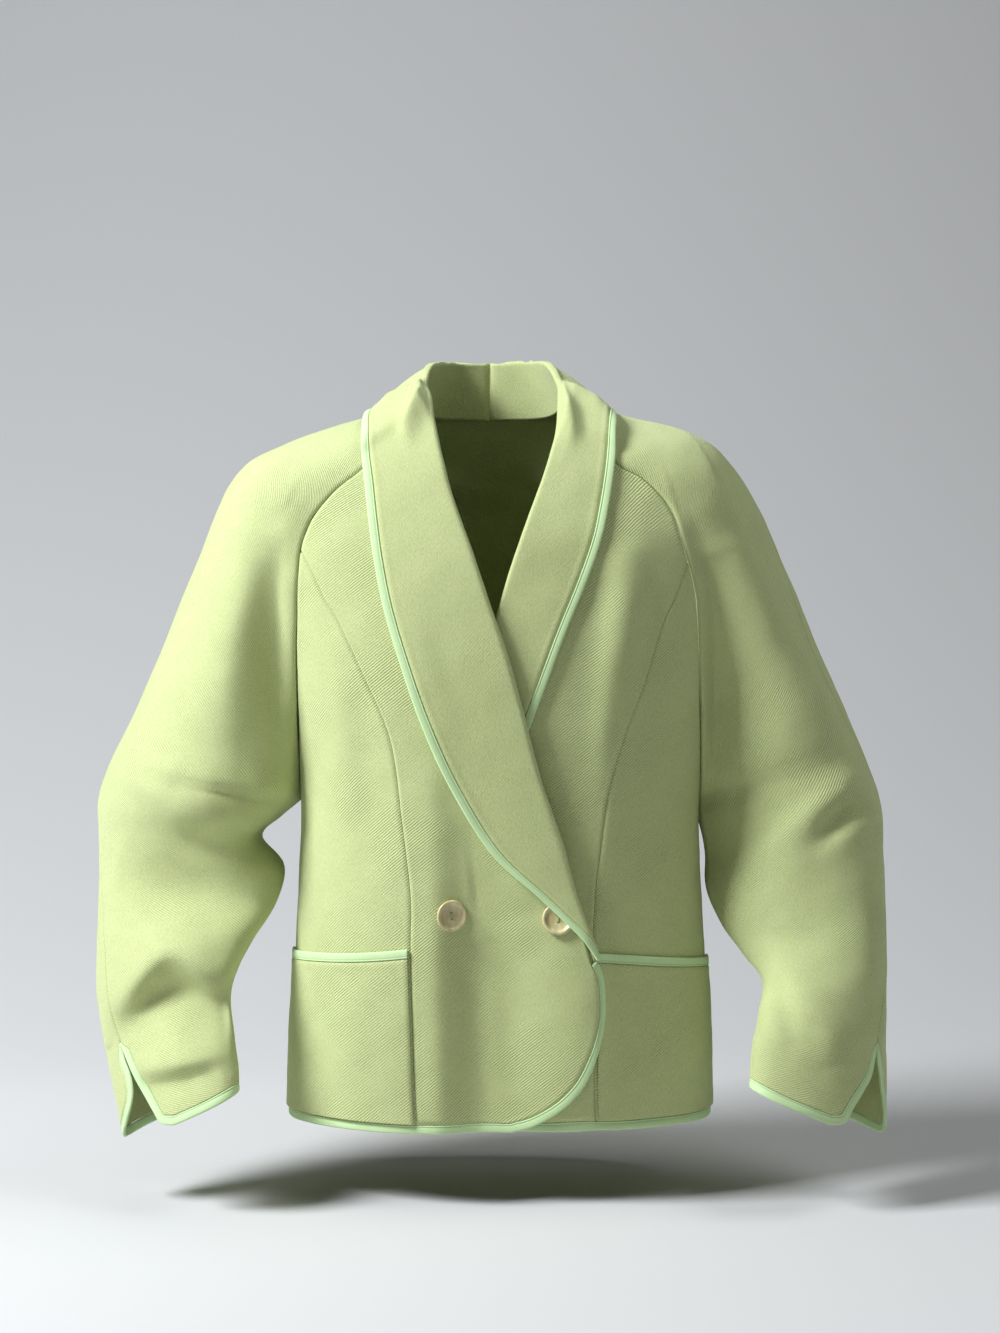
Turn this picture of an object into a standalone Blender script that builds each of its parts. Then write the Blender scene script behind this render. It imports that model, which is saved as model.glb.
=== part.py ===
"""A worn, hollow double-breasted jacket: raglan sleeves, shawl collar, bound edges.

Metres, +Z up, -Y is the front and +X the wearer's left. The origin is the centre of
the neck at shoulder level. Tables are in millimetres. Every cloth piece is a wall that
is lofted between two edges on a smooth surface, and lifted off it along the normal.
"""

import functools
import math

import bmesh
import bpy
import numpy as np
from mathutils import Matrix, Vector
from mathutils.bvhtree import BVHTree

MM = 0.001
CLOTH = 2.0 * MM            # thickness of the wool
SEAM = 0.3 * MM             # gap between two pieces that are sewn together
BINDING_WIDTH = 8.0 * MM
BINDING_PROUD = 0.4 * MM    # how far a binding stands off both sides of the cloth
HEM_Z = -634.0 * MM
LAYER = 7.5 * MM            # the left front lies this far inside the right one

CLOTH_COLOUR = (0.48, 0.62, 0.19, 1.0)
BINDING_COLOUR = (0.56, 0.80, 0.42, 1.0)
BUTTON_COLOUR = (0.60, 0.52, 0.26, 1.0)

# Torso sections: height, half width, depth in front of and behind the side seam,
# and how square the section is.
TORSO = (
    # z, half_width, front, back, squareness
    (-700, 198, 116, 108, 2.5),
    (-634, 196, 116, 107, 2.5),
    (-560, 194, 119, 106, 2.5),
    (-480, 190, 122, 104, 2.5),
    (-400, 186, 124, 102, 2.5),
    (-345, 185, 126, 102, 2.5),
    (-270, 192, 130, 107, 2.6),
    (-200, 202, 133, 111, 2.6),
    (-140, 214, 129, 114, 2.6),
    (-100, 222, 121, 114, 2.6),
    (-60, 220, 109, 109, 2.6),
    (-30, 203, 97, 99, 2.5),
    (0, 172, 78, 85, 2.4),
    (25, 134, 56, 72, 2.3),
    (45, 104, 42, 62, 2.2),
)
# Raglan seams, the same in front and behind: height and distance from the middle.
RAGLAN_RIGHT = (
    # z, x
    (19, -87), (-6, -103), (-40, -120), (-62, -146), (-81, -163), (-96, -172),
    (-117, -179), (-150, -182), (-183, -183), (-211, -184), (-239, -184), (-267, -184),
    (-305, -184), (-345, -185),
)
RAGLAN_LEFT = (
    (19, 69), (-6, 84), (-38, 102), (-52, 126), (-69, 144), (-86, 155), (-105, 161),
    (-127, 168), (-149, 174), (-170, 177), (-221, 180), (-265, 182), (-311, 184),
    (-360, 186),
)
# Princess seams of the fronts, from the raglan seam to the hem.
PRINCESS_RIGHT = (
    # z, x
    (-117, -179), (-138, -167), (-160, -157), (-185, -142), (-233, -119), (-286, -97),
    (-356, -87), (-423, -79), (-474, -79), (-586, -76), (-634, -74),
)
PRINCESS_LEFT = (
    (-127, 168), (-160, 156), (-184, 145), (-238, 128), (-279, 113), (-333, 99),
    (-389, 91), (-430, 87), (-541, 88), (-634, 88),
)
# Lapels: the roll line, where the front turns over, and the collar's outer edge beside
# it, from the neck down to where they meet.
LAPEL_RIGHT = (
    # roll x, z, outer x, z
    (-63, 24, -123, -16), (-60, 3, -122, -38), (-52, -34, -119, -62),
    (-43, -69, -115, -94), (-28, -112, -110, -128), (-14, -153, -101, -171),
    (5, -209, -86, -221), (19, -258, -68, -273), (34, -316, -45, -327),
    (51, -372, -8, -385), (66, -420, 34, -424), (78, -455, 67, -456),
)
LAPEL_LEFT = (
    (53, 24, 103, -12), (51, -8, 103, -30), (44, -37, 100, -55),
    (31, -75, 95, -84), (19, -108, 89, -110), (7, -143, 77, -145),
    (-8, -195, 58, -192), (-24, -250, 37, -248), (-40, -316, 12, -310),
    (-54, -372, -18, -372), (-66, -420, -46, -418), (-75, -455, -64, -456),
)
# The collar round the neck, from above the lapel to the centre back.
NECK_RIGHT = (
    # seam x, y, z, roll x, y, z, outer x, y, z
    (-80, -28, 26, -67, -20, 46, -122, -12, 8),
    (-84, 2, 29, -64, 4, 60, -118, 12, 17),
    (-79, 32, 27, -58, 30, 66, -110, 46, 21),
    (-62, 56, 25, -42, 52, 68, -82, 86, 0),
    (-10, 68, 24, -10, 64, 69, -10, 98, -10),
)
NECK_LEFT = (
    (62, -26, 28, 50, -18, 48, 103, -10, 9),
    (64, 2, 31, 44, 4, 61, 97, 12, 23),
    (59, 32, 28, 38, 30, 67, 90, 46, 25),
    (42, 56, 25, 22, 52, 69, 62, 84, 2),
    (-10, 68, 24, -10, 64, 69, -10, 98, -10),
)
# Finished front edges below the lapel, round the corner to the start of the hem.
FRONT_EDGE_RIGHT = (
    # x, z
    (86, -480), (91, -493), (93.5, -515), (93, -535), (88, -560), (80, -582), (69, -599),
    (52, -615), (30, -628), (10, -634),
)
FRONT_EDGE_LEFT = (
    (-80, -480), (-85, -493), (-87, -515), (-86, -535), (-82, -560), (-74, -582),
    (-62, -599), (-46, -615), (-24, -628), (-4, -634),
)
SIDE_CORNER = 11.0 * MM     # radius of the hem's corners at the side seams


def smooth_curve(rows, count=None, at=None):
    """A smooth curve through the rows, at even arc length or at given row numbers."""
    pts = np.array(rows, float)
    last = len(pts) - 1
    padded = np.vstack([2 * pts[0] - pts[1], pts, 2 * pts[-1] - pts[-2]])

    def value(t):
        i = min(int(t), last - 1)
        f = t - i
        a, b, c, d = padded[i:i + 4]
        return 0.5 * (2 * b + (c - a) * f + (2 * a - 5 * b + 4 * c - d) * f * f
                      + (3 * b - a - 3 * c + d) * f ** 3)

    if at is not None:
        return np.array([value(t) for t in at])
    fine = np.linspace(0, last, 24 * last + 1)
    line = np.array([value(t) for t in fine])
    steps = np.linalg.norm(np.diff(line, axis=0), axis=1)
    along = np.concatenate([[0], np.cumsum(steps)])
    marks = np.interp(np.linspace(0, along[-1], count), along, fine)
    return np.array([value(t) for t in marks])


def interpolate(rows, x):
    """Columns of a table at x, on smooth curves (first column is the key)."""
    table = np.array(rows, float)
    if table[0, 0] > table[-1, 0]:
        table = table[::-1]
    keys = table[:, 0]
    x = min(max(x, keys[0]), keys[-1])
    i = min(int(np.searchsorted(keys, x, side="right")) - 1, len(keys) - 2)
    t = (x - keys[i]) / (keys[i + 1] - keys[i])

    def slope(k):
        lo, hi = max(k - 1, 0), min(k + 1, len(keys) - 1)
        return (table[hi, 1:] - table[lo, 1:]) / (keys[hi] - keys[lo])

    step = keys[i + 1] - keys[i]
    h = t * t * (3 - 2 * t)
    return ((1 - h) * table[i, 1:] + h * table[i + 1, 1:]
            + t * (1 - t) * (1 - t) * step * slope(i) - t * t * (1 - t) * step * slope(i + 1))


def unit(v):
    return v / max(np.linalg.norm(v), 1e-12)


def ease(x, start, end):
    """0 before start, 1 after end, smooth between."""
    t = min(max((x - start) / (end - start), 0.0), 1.0)
    return t * t * (3 - 2 * t)


class Surface:
    """A smooth surface of two parameters with its normal, pointing outward."""

    def __init__(self, point, flip=1.0, step=(0.3, 0.0015)):
        self.point = point
        self.flip = flip
        self.step = step

    def tangents(self, u, v):
        du, dv = self.step
        along_u = (self.point(u + du, v) - self.point(u - du, v)) / (2 * du)
        along_v = (self.point(u, v + dv) - self.point(u, v - dv)) / (2 * dv)
        return along_u, along_v

    def normal(self, u, v):
        along_u, along_v = self.tangents(u, v)
        return self.flip * unit(np.cross(along_u, along_v))

    def at(self, u, v, lift=0.0):
        return self.point(u, v) + lift * self.normal(u, v)

    def move(self, u, v, vector):
        """The parameters after a small step along the surface."""
        basis = np.array(self.tangents(u, v)).T
        step, *_ = np.linalg.lstsq(basis, vector, rcond=None)
        return u + step[0], v + step[1]

    def inset(self, edge, distance, side):
        """An edge (rows of u, v) moved sideways over the surface by a distance."""
        edge = np.array(edge, float)
        pts = np.array([self.point(u, v) for u, v in edge])
        moved = []
        for i, (u, v) in enumerate(edge):
            lo, hi = max(i - 1, 0), min(i + 1, len(edge) - 1)
            tangent = unit(pts[hi] - pts[lo])
            across = side * np.cross(self.normal(u, v), tangent)
            moved.append(self.move(u, v, across * distance))
        return np.array(moved)


def torso_point(angle, z):
    """A point of the torso: angle 0 is the centre front, +90 the wearer's left side."""
    half, front, back, square = interpolate(TORSO, z / MM)
    a = math.radians(angle)
    s, c = math.sin(a), math.cos(a)
    depth = front + (back - front) * ease(-c, -0.25, 0.25)
    r = (abs(s / half) ** square + abs(c / depth) ** square) ** (-1 / square)
    from_side = (math.pi / 2 - math.asin(min(abs(s), 1.0))) * half * MM
    short = max(SIDE_CORNER - from_side, 0.0)
    rise = SIDE_CORNER - math.sqrt(SIDE_CORNER ** 2 - short ** 2)
    rise *= ease(-z, -HEM_Z - 4 * SIDE_CORNER, -HEM_Z)
    return np.array([r * s * MM, -r * c * MM, z + rise])


def angle_at(x, z, back=False):
    """The angle whose torso point has this x, in front or behind."""
    lo, hi = (90.0, 180.0) if back else (0.0, 90.0)
    sign = 1.0 if x >= 0 else -1.0
    for _ in range(26):
        mid = 0.5 * (lo + hi)
        inside = torso_point(mid, z)[0] < abs(x)
        if inside != back:
            lo = mid
        else:
            hi = mid
    return sign * 0.5 * (lo + hi)


torso = Surface(torso_point, flip=1.0)


def under_point(angle, z):
    """The torso where the left front is: it dips under the right front."""
    x = torso.point(angle, z)[0]
    dip = LAYER * (1 - ease(x, 0.075, 0.125))
    dip *= 1 - ease(z, -0.170, -0.100)
    return torso.at(angle, z, -dip)


under = Surface(under_point, flip=1.0)


def table_nodes(rows, back=False):
    """Rows of x, z in millimetres as rows of angle, height, each one a shared point."""
    return np.array([(angle_at(x * MM, z * MM, back), z * MM) for x, z in rows])


# --- making objects ---------------------------------------------------------------

for old in list(bpy.data.objects):
    bpy.data.objects.remove(old, do_unlink=True)
jacket = bpy.data.collections.new("double_breasted_jacket")
bpy.context.scene.collection.children.link(jacket)


def new_material(name, colour, roughness):
    material = bpy.data.materials.new(name)
    material.use_nodes = True
    shader = material.node_tree.nodes["Principled BSDF"]
    shader.inputs["Base Color"].default_value = colour
    shader.inputs["Roughness"].default_value = roughness
    shader.inputs["Metallic"].default_value = 0.0
    return material


def new_object(name, mesh, colour, roughness=0.9):
    body = bpy.data.objects.new(name, mesh)
    jacket.objects.link(body)
    mesh.materials.append(new_material(name, colour, roughness))
    mesh.shade_smooth()
    mesh.set_sharp_from_angle(angle=math.radians(40))
    return body


outer_skins = {}
SEARCH = 30 * MM            # what lies further off than this isn't rested on


def loft_wall(name, outer, inner, colour):
    """A closed wall between an outer and an inner grid of points."""
    rows, columns = len(outer), len(outer[0])
    bm = bmesh.new()
    skins = [[[bm.verts.new(p) for p in row] for row in grid] for grid in (outer, inner)]
    for skin in skins:
        for i in range(rows - 1):
            for j in range(columns - 1):
                bm.faces.new((skin[i][j], skin[i][j + 1], skin[i + 1][j + 1], skin[i + 1][j]))
    rim = [(0, j) for j in range(columns)]
    rim += [(i, columns - 1) for i in range(1, rows)]
    rim += [(rows - 1, j) for j in range(columns - 2, -1, -1)]
    rim += [(i, 0) for i in range(rows - 2, 0, -1)]
    for k, (i, j) in enumerate(rim):
        m, n = rim[(k + 1) % len(rim)]
        bm.faces.new((skins[0][i][j], skins[0][m][n], skins[1][m][n], skins[1][i][j]))
    bmesh.ops.recalc_face_normals(bm, faces=bm.faces)
    mesh = bpy.data.meshes.new(name)
    bm.to_mesh(mesh)
    bm.free()
    outer_faces = [tuple(p.vertices) for p in mesh.polygons[:(rows - 1) * (columns - 1)]]
    outer_skins[name] = BVHTree.FromPolygons([v.co for v in mesh.vertices], outer_faces)
    return new_object(name, mesh, colour)


def rest_on(point, names, clearance):
    """The point, pushed out until it is this far above the named pieces."""
    for name in names:
        place, normal, _, _ = outer_skins[name].find_nearest(Vector(point))
        above = (Vector(point) - place).dot(normal)
        if above < clearance and (Vector(point) - place).length < SEARCH:
            point = point + (clearance - above) * np.array(normal)
    return point


def even(count):
    return np.linspace(0.0, 1.0, count + 1)


def grid_between(edge_a, edge_b, shares):
    """Rows of u, v between two edges that have the same number of rows."""
    return [[(1 - f) * np.array(a) + f * np.array(b) for f in shares]
            for a, b in zip(edge_a, edge_b)]


def lifted(surface, grid, lift):
    return [[surface.at(u, v, lift) for u, v in row] for row in grid]


def panel(name, surface, edge_a, edge_b, shares, lift=0.0, thick=CLOTH,
          colour=CLOTH_COLOUR, last_row=None):
    grid = grid_between(edge_a, edge_b, shares)
    if last_row is not None:
        grid[-1] = last_row
    return loft_wall(name, lifted(surface, grid, lift), lifted(surface, grid, lift - thick),
                     colour)


def binding(name, surface, edge, side, lift=0.0, hem_rows=0):
    """A strip along a finished edge, a little prouder than the cloth that it closes."""
    inner_edge = surface.inset(edge, BINDING_WIDTH, side)
    for i in range(len(edge) - hem_rows, len(edge)):
        inner_edge[i] = (edge[i][0], HEM_Z + BINDING_WIDTH)
    return panel(name, surface, edge, inner_edge, (0.0, 0.5, 1.0), lift + BINDING_PROUD,
                 CLOTH + 2 * BINDING_PROUD, BINDING_COLOUR)


# --- torso ------------------------------------------------------------------------

UNDER_LEG = 6.0 * MM        # the collar's seam to the front lies this far from its roll
INNER_HEM = HEM_Z + BINDING_WIDTH + SEAM
SIDE_STEPS = 8
POINT_SHARE = 0.25          # a side front's pointed top is cut off this far down its first row
PRINCESS_ROW = {"right": 6, "left": 7}      # the raglan row where the princess seam starts
RAGLAN = {"right": RAGLAN_RIGHT, "left": RAGLAN_LEFT}
PRINCESS = {"right": PRINCESS_RIGHT, "left": PRINCESS_LEFT}


def raglan_nodes(which, back=False):
    """The raglan seam's shared points, one to each row of its table."""
    turn = 360.0 if back and which == "right" else 0.0
    nodes = table_nodes([(x, z) for z, x in RAGLAN[which]], back)
    return [(angle + turn, z) for angle, z in nodes]


def princess_nodes(which):
    """The princess seam's shared points, from the raglan seam to the hem binding."""
    floor = INNER_HEM / MM
    rows = [(x, z) for z, x in PRINCESS[which] if z > floor]
    rows.append((PRINCESS[which][-1][1], floor))
    steps = len(RAGLAN[which]) - 1 - PRINCESS_ROW[which] + SIDE_STEPS
    return list(map(tuple, table_nodes(smooth_curve(rows, steps + 1))))


def side_nodes(which, back=False):
    """The side seam's shared points, from under the arm to the hem binding."""
    angle = 90.0 if which == "left" else 270.0 if back else -90.0
    underarm = RAGLAN[which][-1][0] * MM
    return [(angle, z) for z in np.linspace(underarm, INNER_HEM, SIDE_STEPS + 1)]


def build_front(which, surface, lapel, edge, side):
    """side is +1 for the right front, whose open edge lies at a larger angle."""
    outer_side = raglan_nodes(which)[:PRINCESS_ROW[which]] + princess_nodes(which)
    outer_side = surface.inset(outer_side, SEAM / 2, side)
    roll = table_nodes([row[:2] for row in lapel])
    outline = table_nodes(edge)
    open_side = np.vstack([surface.inset(roll, UNDER_LEG, -side),
                           surface.inset(outline, BINDING_WIDTH + SEAM, -side)])
    open_side[0, 1] = outer_side[0][1]
    open_side[-1, 1] = INNER_HEM
    panel(f"front_{which}", surface, outer_side, open_side, FRONT_SHARES)
    princess = princess_nodes(which)[-1][0]
    side_seam = side_nodes(which)[-1][0]
    hem = [(1 - f) * princess + f * outline[-1][0] for f in FRONT_SHARES[-2::-1]]
    hem += [(1 - f) * side_seam + f * princess for f in SIDE_SHARES[-2::-1]]
    outline = np.vstack([outline, [(angle, HEM_Z) for angle in hem]])
    outline[-1, 0] += SIDE_GAP * side
    binding(f"binding_front_{which}", surface, outline, -side, hem_rows=len(hem) + 1)


def build_side_front(which, surface, side):
    """Between the sleeve and side seam and the princess seam."""
    upper = raglan_nodes(which)[PRINCESS_ROW[which]:]
    outer_side = np.array(upper[:-1] + side_nodes(which))
    inner_side = np.array(princess_nodes(which))
    for edge in (outer_side, inner_side):
        edge[0] += POINT_SHARE * (edge[1] - edge[0])
    panel(f"side_front_{which}", surface, surface.inset(outer_side, SEAM / 2, side),
          surface.inset(inner_side, SEAM / 2, -side), SIDE_SHARES)


def build_back():
    """One piece from side seam to side seam, up to the neck between the sleeves."""
    left = raglan_nodes("left", True)[:-1] + side_nodes("left", True)
    right = raglan_nodes("right", True)[:-1] + side_nodes("right", True)
    panel("back", torso, torso.inset(left, SEAM / 2, 1), torso.inset(right, SEAM / 2, -1),
          BACK_SHARES)
    hem = [(90 + 180 * f, HEM_Z) for f in BACK_SHARES]
    hem[0] = (90 + SIDE_GAP, HEM_Z)
    hem[-1] = (270 - SIDE_GAP, HEM_Z)
    binding("binding_hem_back", torso, hem, 1, hem_rows=len(hem))


SIDE_SHARES = (0.0, 0.03, 0.08, 0.2, 0.4, 0.6, 0.8, 1.0)
FRONT_SHARES = even(7)
BACK_SHARES = (0.0, 0.01, 0.03, 0.09, 0.18, 0.28, 0.39, 0.5, 0.61, 0.72, 0.82, 0.91, 0.97,
               0.99, 1.0)
SIDE_GAP = 0.06             # degrees between a hem binding's end and the side seam
build_front("right", torso, LAPEL_RIGHT, FRONT_EDGE_RIGHT, 1)
build_front("left", under, LAPEL_LEFT, FRONT_EDGE_LEFT, -1)
build_side_front("right", torso, 1)
build_side_front("left", under, -1)
build_back()


# --- sleeves ----------------------------------------------------------------------

# Rows run from the neck to the cuff. The first rows start and end on the raglan seam,
# one row of the sleeve to each row of that seam; the others are closed rings that
# start at the underarm seam. Outer is the over-arm seam, inner the underarm seam.
SLEEVE_RIGHT = (
    # outer x, y, z, inner x, y, z, bulge front, bulge back, openness, seam share
    (-91, 0, 24, 0, 0, 0, 0, 0, 0.0, 0.50),
    (-109, 0, 16, 0, 0, 0, 0, 0, 0.3, 0.50),
    (-134, 0, 9, 0, 0, 0, 0, 0, 0.7, 0.50),
    (-167, 0, -1, 0, 0, 0, 0, 0, 0.9, 0.50),
    (-202, 0, -15, 0, 0, 0, 0, 0, 1.0, 0.50),
    (-232, 0, -29, 0, 0, 0, 0, 0, 1.0, 0.50),
    (-251, 0, -50, 0, 0, 0, 30, 30, 0.95, 0.50),
    (-264, 0, -77, 0, 0, 0, 50, 50, 0.85, 0.50),
    (-279, 2, -115, 0, 0, 0, 62, 62, 0.7, 0.50),
    (-291, 5, -143, 0, 0, 0, 68, 66, 0.6, 0.50),
    (-304, 8, -175, 0, 0, 0, 72, 70, 0.5, 0.50),
    (-320, 12, -213, 0, 0, 0, 75, 73, 0.35, 0.50),
    (-341, 17, -260, 0, 0, 0, 77, 75, 0.2, 0.50),
    (-366, 22, -310, 0, 0, 0, 78, 76, 0.0, 0.49),
    (-377, 20, -343, -205, 0, -361, 74, 76, 0.0, 0.48),
    (-376, 12, -372, -222, -4, -379, 66, 74, 0.0, 0.47),
    (-374, 2, -402, -201, -14, -405, 66, 70, 0.0, 0.460),
    (-372, -12, -437, -207, -32, -440, 62, 64, 0.0, 0.435),
    (-371, -28, -475, -226, -62, -472, 56, 56, 0.0, 0.410),
    (-369, -42, -515, -240, -92, -508, 50, 50, 0.0, 0.385),
    (-361, -56, -556, -236, -110, -543, 46, 46, 0.0, 0.368),
    (-350, -68, -600, -231, -122, -570, 44, 44, 0.0, 0.362),
    (-338, -80, -646, -229, -132, -594, 42, 42, 0.0, 0.362),
)
SLEEVE_LEFT = (
    (73, 0, 28, 0, 0, 0, 0, 0, 0.0, 0.49),
    (94, 0, 20, 0, 0, 0, 0, 0, 0.3, 0.49),
    (120, 0, 12, 0, 0, 0, 0, 0, 0.7, 0.48),
    (149, 0, 5, 0, 0, 0, 0, 0, 0.9, 0.48),
    (176, 0, -3, 0, 0, 0, 0, 0, 1.0, 0.48),
    (199, 0, -16, 0, 0, 0, 0, 0, 1.0, 0.48),
    (216, 0, -34, 0, 0, 0, 0, 0, 1.0, 0.47),
    (231, 0, -56, 0, 0, 0, 30, 30, 0.95, 0.47),
    (244, 0, -80, 0, 0, 0, 46, 46, 0.85, 0.455),
    (255, 0, -104, 0, 0, 0, 56, 56, 0.75, 0.430),
    (276, 2, -152, 0, 0, 0, 66, 66, 0.6, 0.405),
    (295, 7, -198, 0, 0, 0, 72, 72, 0.45, 0.400),
    (318, 14, -247, 0, 0, 0, 76, 76, 0.2, 0.415),
    (343, 20, -306, 0, 0, 0, 78, 78, 0.0, 0.445),
    (357, 18, -350, 191, -5, -392, 76, 76, 0.0, 0.458),
    (358, 10, -395, 191, -14, -425, 70, 72, 0.0, 0.46),
    (358, 0, -440, 204, -30, -458, 64, 66, 0.0, 0.455),
    (357, -14, -478, 222, -55, -484, 58, 60, 0.0, 0.445),
    (354, -30, -518, 236, -82, -504, 52, 54, 0.0, 0.415),
    (352, -46, -556, 230, -104, -530, 48, 48, 0.0, 0.387),
    (351, -60, -600, 222, -118, -560, 44, 44, 0.0, 0.380),
    (347, -74, -646, 219, -132, -590, 42, 42, 0.0, 0.380),
)


BEYOND = 0.05               # past its ends a sleeve goes on as it did over this part of a row
FLAT_BULGE = 30             # rings that bulge less than this are partly a straight line


class Sleeve(Surface):
    """Parameters: share of the ring from front to back, and row number."""

    def __init__(self, table, raglan, flip):
        super().__init__(self.ring_point, flip, (0.004, 0.03))
        self.rows = np.array(table, float)
        self.last = len(table) - 1
        self.open_rows = len(raglan) - 1
        self.raglan = raglan

    def row(self, k):
        return smooth_curve(self.rows, at=[min(max(k, 0.0), self.last)])[0]

    @functools.lru_cache(maxsize=None)
    def raglan_at(self, k, back):
        z, x = smooth_curve(self.raglan, at=[min(max(k, 0.0), self.open_rows)])[0]
        return angle_at(x * MM, z * MM, back), z * MM

    def ring_point(self, t, k):
        over = k - min(max(k, 0.0), self.last)
        k -= over
        row = self.row(k)
        outer = row[0:3] * MM
        back = t > 0.5
        f = 2 * (1 - t) if back else 2 * t
        if k < self.open_rows:
            start = torso.point(*self.raglan_at(k, back))
        else:
            start = self.inner(k)
        bulge = (row[7] if back else -row[6]) * MM
        full = min((row[6] + row[7]) / (2 * FLAT_BULGE), 1.0)
        share = full * (1 - math.cos(math.pi * f)) / 2 + (1 - full) * f
        half = start + (outer - start) * share
        half = half + np.array([0, bulge * math.sin(math.pi * f), 0])
        quarter = start + (outer - start) * math.sin(math.pi * f / 2)
        quarter[1] = outer[1] + (start[1] - outer[1]) * math.cos(math.pi * f / 2)
        open_share = min(max(row[8], 0.0), 1.0) if k < self.open_rows else 0.0
        point = open_share * quarter + (1 - open_share) * half
        if over:
            before = self.ring_point(t, k - BEYOND * np.sign(over))
            point = point + (point - before) * abs(over) / BEYOND
        return point

    def inner(self, k):
        first = self.open_rows
        start = torso.point(*self.raglan_at(first, False)) / MM
        inner_rows = np.vstack([start, self.rows[first + 1:, 3:6]])
        return smooth_curve(inner_rows, at=[k - first])[0] * MM

    def seam(self, k):
        return self.row(k)[9]


sleeves = {
    "right": Sleeve(SLEEVE_RIGHT, RAGLAN_RIGHT, 1.0),
    "left": Sleeve(SLEEVE_LEFT, RAGLAN_LEFT, -1.0),
}
SLIT_ROWS = 1.9             # the slit's top is this many rows above the cuff
# Edges of the slit's flaps, from its top to the hem: share of the ring beside the
# over-arm seam, and rows above the cuff.
FLAPS = {
    ("right", "front"): ((0.0, 1.9), (-0.013, 1.5), (-0.026, 1.15), (-0.042, 0.8), (-0.060, 0.43),
                         (-0.076, 0.15), (-0.11, 0.0)),
    ("right", "back"): ((0.0, 1.9), (-0.004, 1.55), (-0.012, 1.2), (-0.012, 0.9), (-0.001, 0.6),
                        (0.022, 0.35), (0.050, 0.12), (0.085, 0.0)),
    ("left", "front"): ((0.0, 1.9), (-0.006, 1.55), (-0.018, 1.2), (-0.040, 0.85), (-0.062, 0.5),
                        (-0.082, 0.15), (-0.115, 0.0)),
    ("left", "back"): ((0.0, 1.9), (0.001, 1.7), (0.008, 1.45), (0.034, 0.9), (0.052, 0.6),
                       (0.070, 0.35), (0.088, 0.12), (0.12, 0.0)),
}
SLIT_STEPS = 8
SLIT_EASE = 0.22            # the cloth leaves the seam this many rows above the slit
SLEEVE_COLUMNS = 8
NECK_EASE = 2.8 * MM        # the seams gape this much under the collar, at the neck


def cuff_outline(sleeve, flap, end):
    """From the slit's top along its flap, round the corner and along the hem."""
    rows = []
    for shift, above in smooth_curve(flap, SLIT_STEPS + 1):
        k = sleeve.last - above
        rows.append((sleeve.seam(k) + shift, k))
    hem = [(t, sleeve.last) for t in np.linspace(rows[-1][0], end, SLEEVE_COLUMNS + 1)[1:]]
    return np.array(rows + hem)


def build_sleeve(which):
    sleeve = sleeves[which]
    for part, end, side in (("front", 0.0, 1), ("back", 1.0, -1)):
        side *= int(sleeve.flip)
        outline = cuff_outline(sleeve, FLAPS[which, part], end)
        inner = sleeve.inset(outline, BINDING_WIDTH + SEAM, side)
        slit_top = sleeve.last - SLIT_ROWS
        levels = list(np.arange(0.0, slit_top - 0.4, 1.0)) + [slit_top - SLIT_EASE]
        seam_edge = [(sleeve.seam(k), k) for k in levels] + list(map(tuple, inner[1:SLIT_STEPS + 1]))
        seam_edge = np.array(seam_edge)
        cut = len(levels)
        seam_edge[:cut] = sleeve.inset(seam_edge, SEAM / 2, side)[:cut]
        seam_edge[0] = sleeve.inset(seam_edge, NECK_EASE / 3, side)[0]
        start_edge = [(end, k) for k in levels]
        start_edge += [(end, min(k, inner[-1][1] - 0.02 * (SLIT_STEPS - i)))
                       for i, k in enumerate(inner[1:SLIT_STEPS + 1, 1])]
        start_edge[-1] = (end, inner[-1][1])
        at_neck = sleeve.inset(start_edge, NECK_EASE, -side)[:2]
        start_edge = sleeve.inset(start_edge, SEAM / 2, -side)
        start_edge[:2] = at_neck
        hem_row = [start_edge[-1]] + list(inner[-2:SLIT_STEPS - 1:-1])
        panel(f"sleeve_{part}_{which}", sleeve, start_edge, seam_edge,
              even(SLEEVE_COLUMNS), last_row=hem_row)
        reach = sleeve.point(*outline[-1]) - sleeve.point(*outline[-2])
        share = SEAM / 2 / np.linalg.norm(reach)
        outline[-1] -= share * (outline[-1] - outline[-2])
        binding(f"binding_cuff_{part}_{which}", sleeve, outline[1:], side)


build_sleeve("right")
build_sleeve("left")


# --- collar -----------------------------------------------------------------------

LAPEL_LIFT = {"right": 7.0 * MM, "left": 4.6 * MM}
TURN_STEPS = 4
FALL_SHARES = (0.15, 0.3, 0.45, 0.6, 0.8, 1.0)
FALL_BULGE = 0.05           # how far the fall stands out, as a share of its width
NECK_MIDDLE = -10.0 * MM    # the centre back of the neck, a little to the wearer's right


def lapel_rows(which, surface, lapel, side):
    """Lines of points across the lapel: seam, turned edge, and out to its outer edge."""
    lift = LAPEL_LIFT[which] - CLOTH / 2
    radius = (lift + CLOTH / 2) / 2
    roll = table_nodes([row[:2] for row in lapel])
    outer = table_nodes([row[2:] for row in lapel])
    leg = surface.inset(roll, UNDER_LEG - SEAM, -side)
    turn = surface.inset(roll, radius, -side)
    rows = []
    for i in range(len(lapel)):
        middle = radius - CLOTH / 2
        line = [surface.at(*leg[i], -CLOTH / 2)]
        for k in range(TURN_STEPS + 1):
            a = math.pi * (k / TURN_STEPS - 0.5)
            share = 1 - math.cos(a)
            u, v = roll[i] + share * (turn[i] - roll[i])
            line.append(surface.at(u, v, middle + radius * math.sin(a)))
        for f in FALL_SHARES:
            u, v = (1 - f) * turn[i] + f * outer[i]
            line.append(surface.at(u, v, lift))
        rows.append(np.array(line))
    return rows


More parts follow.
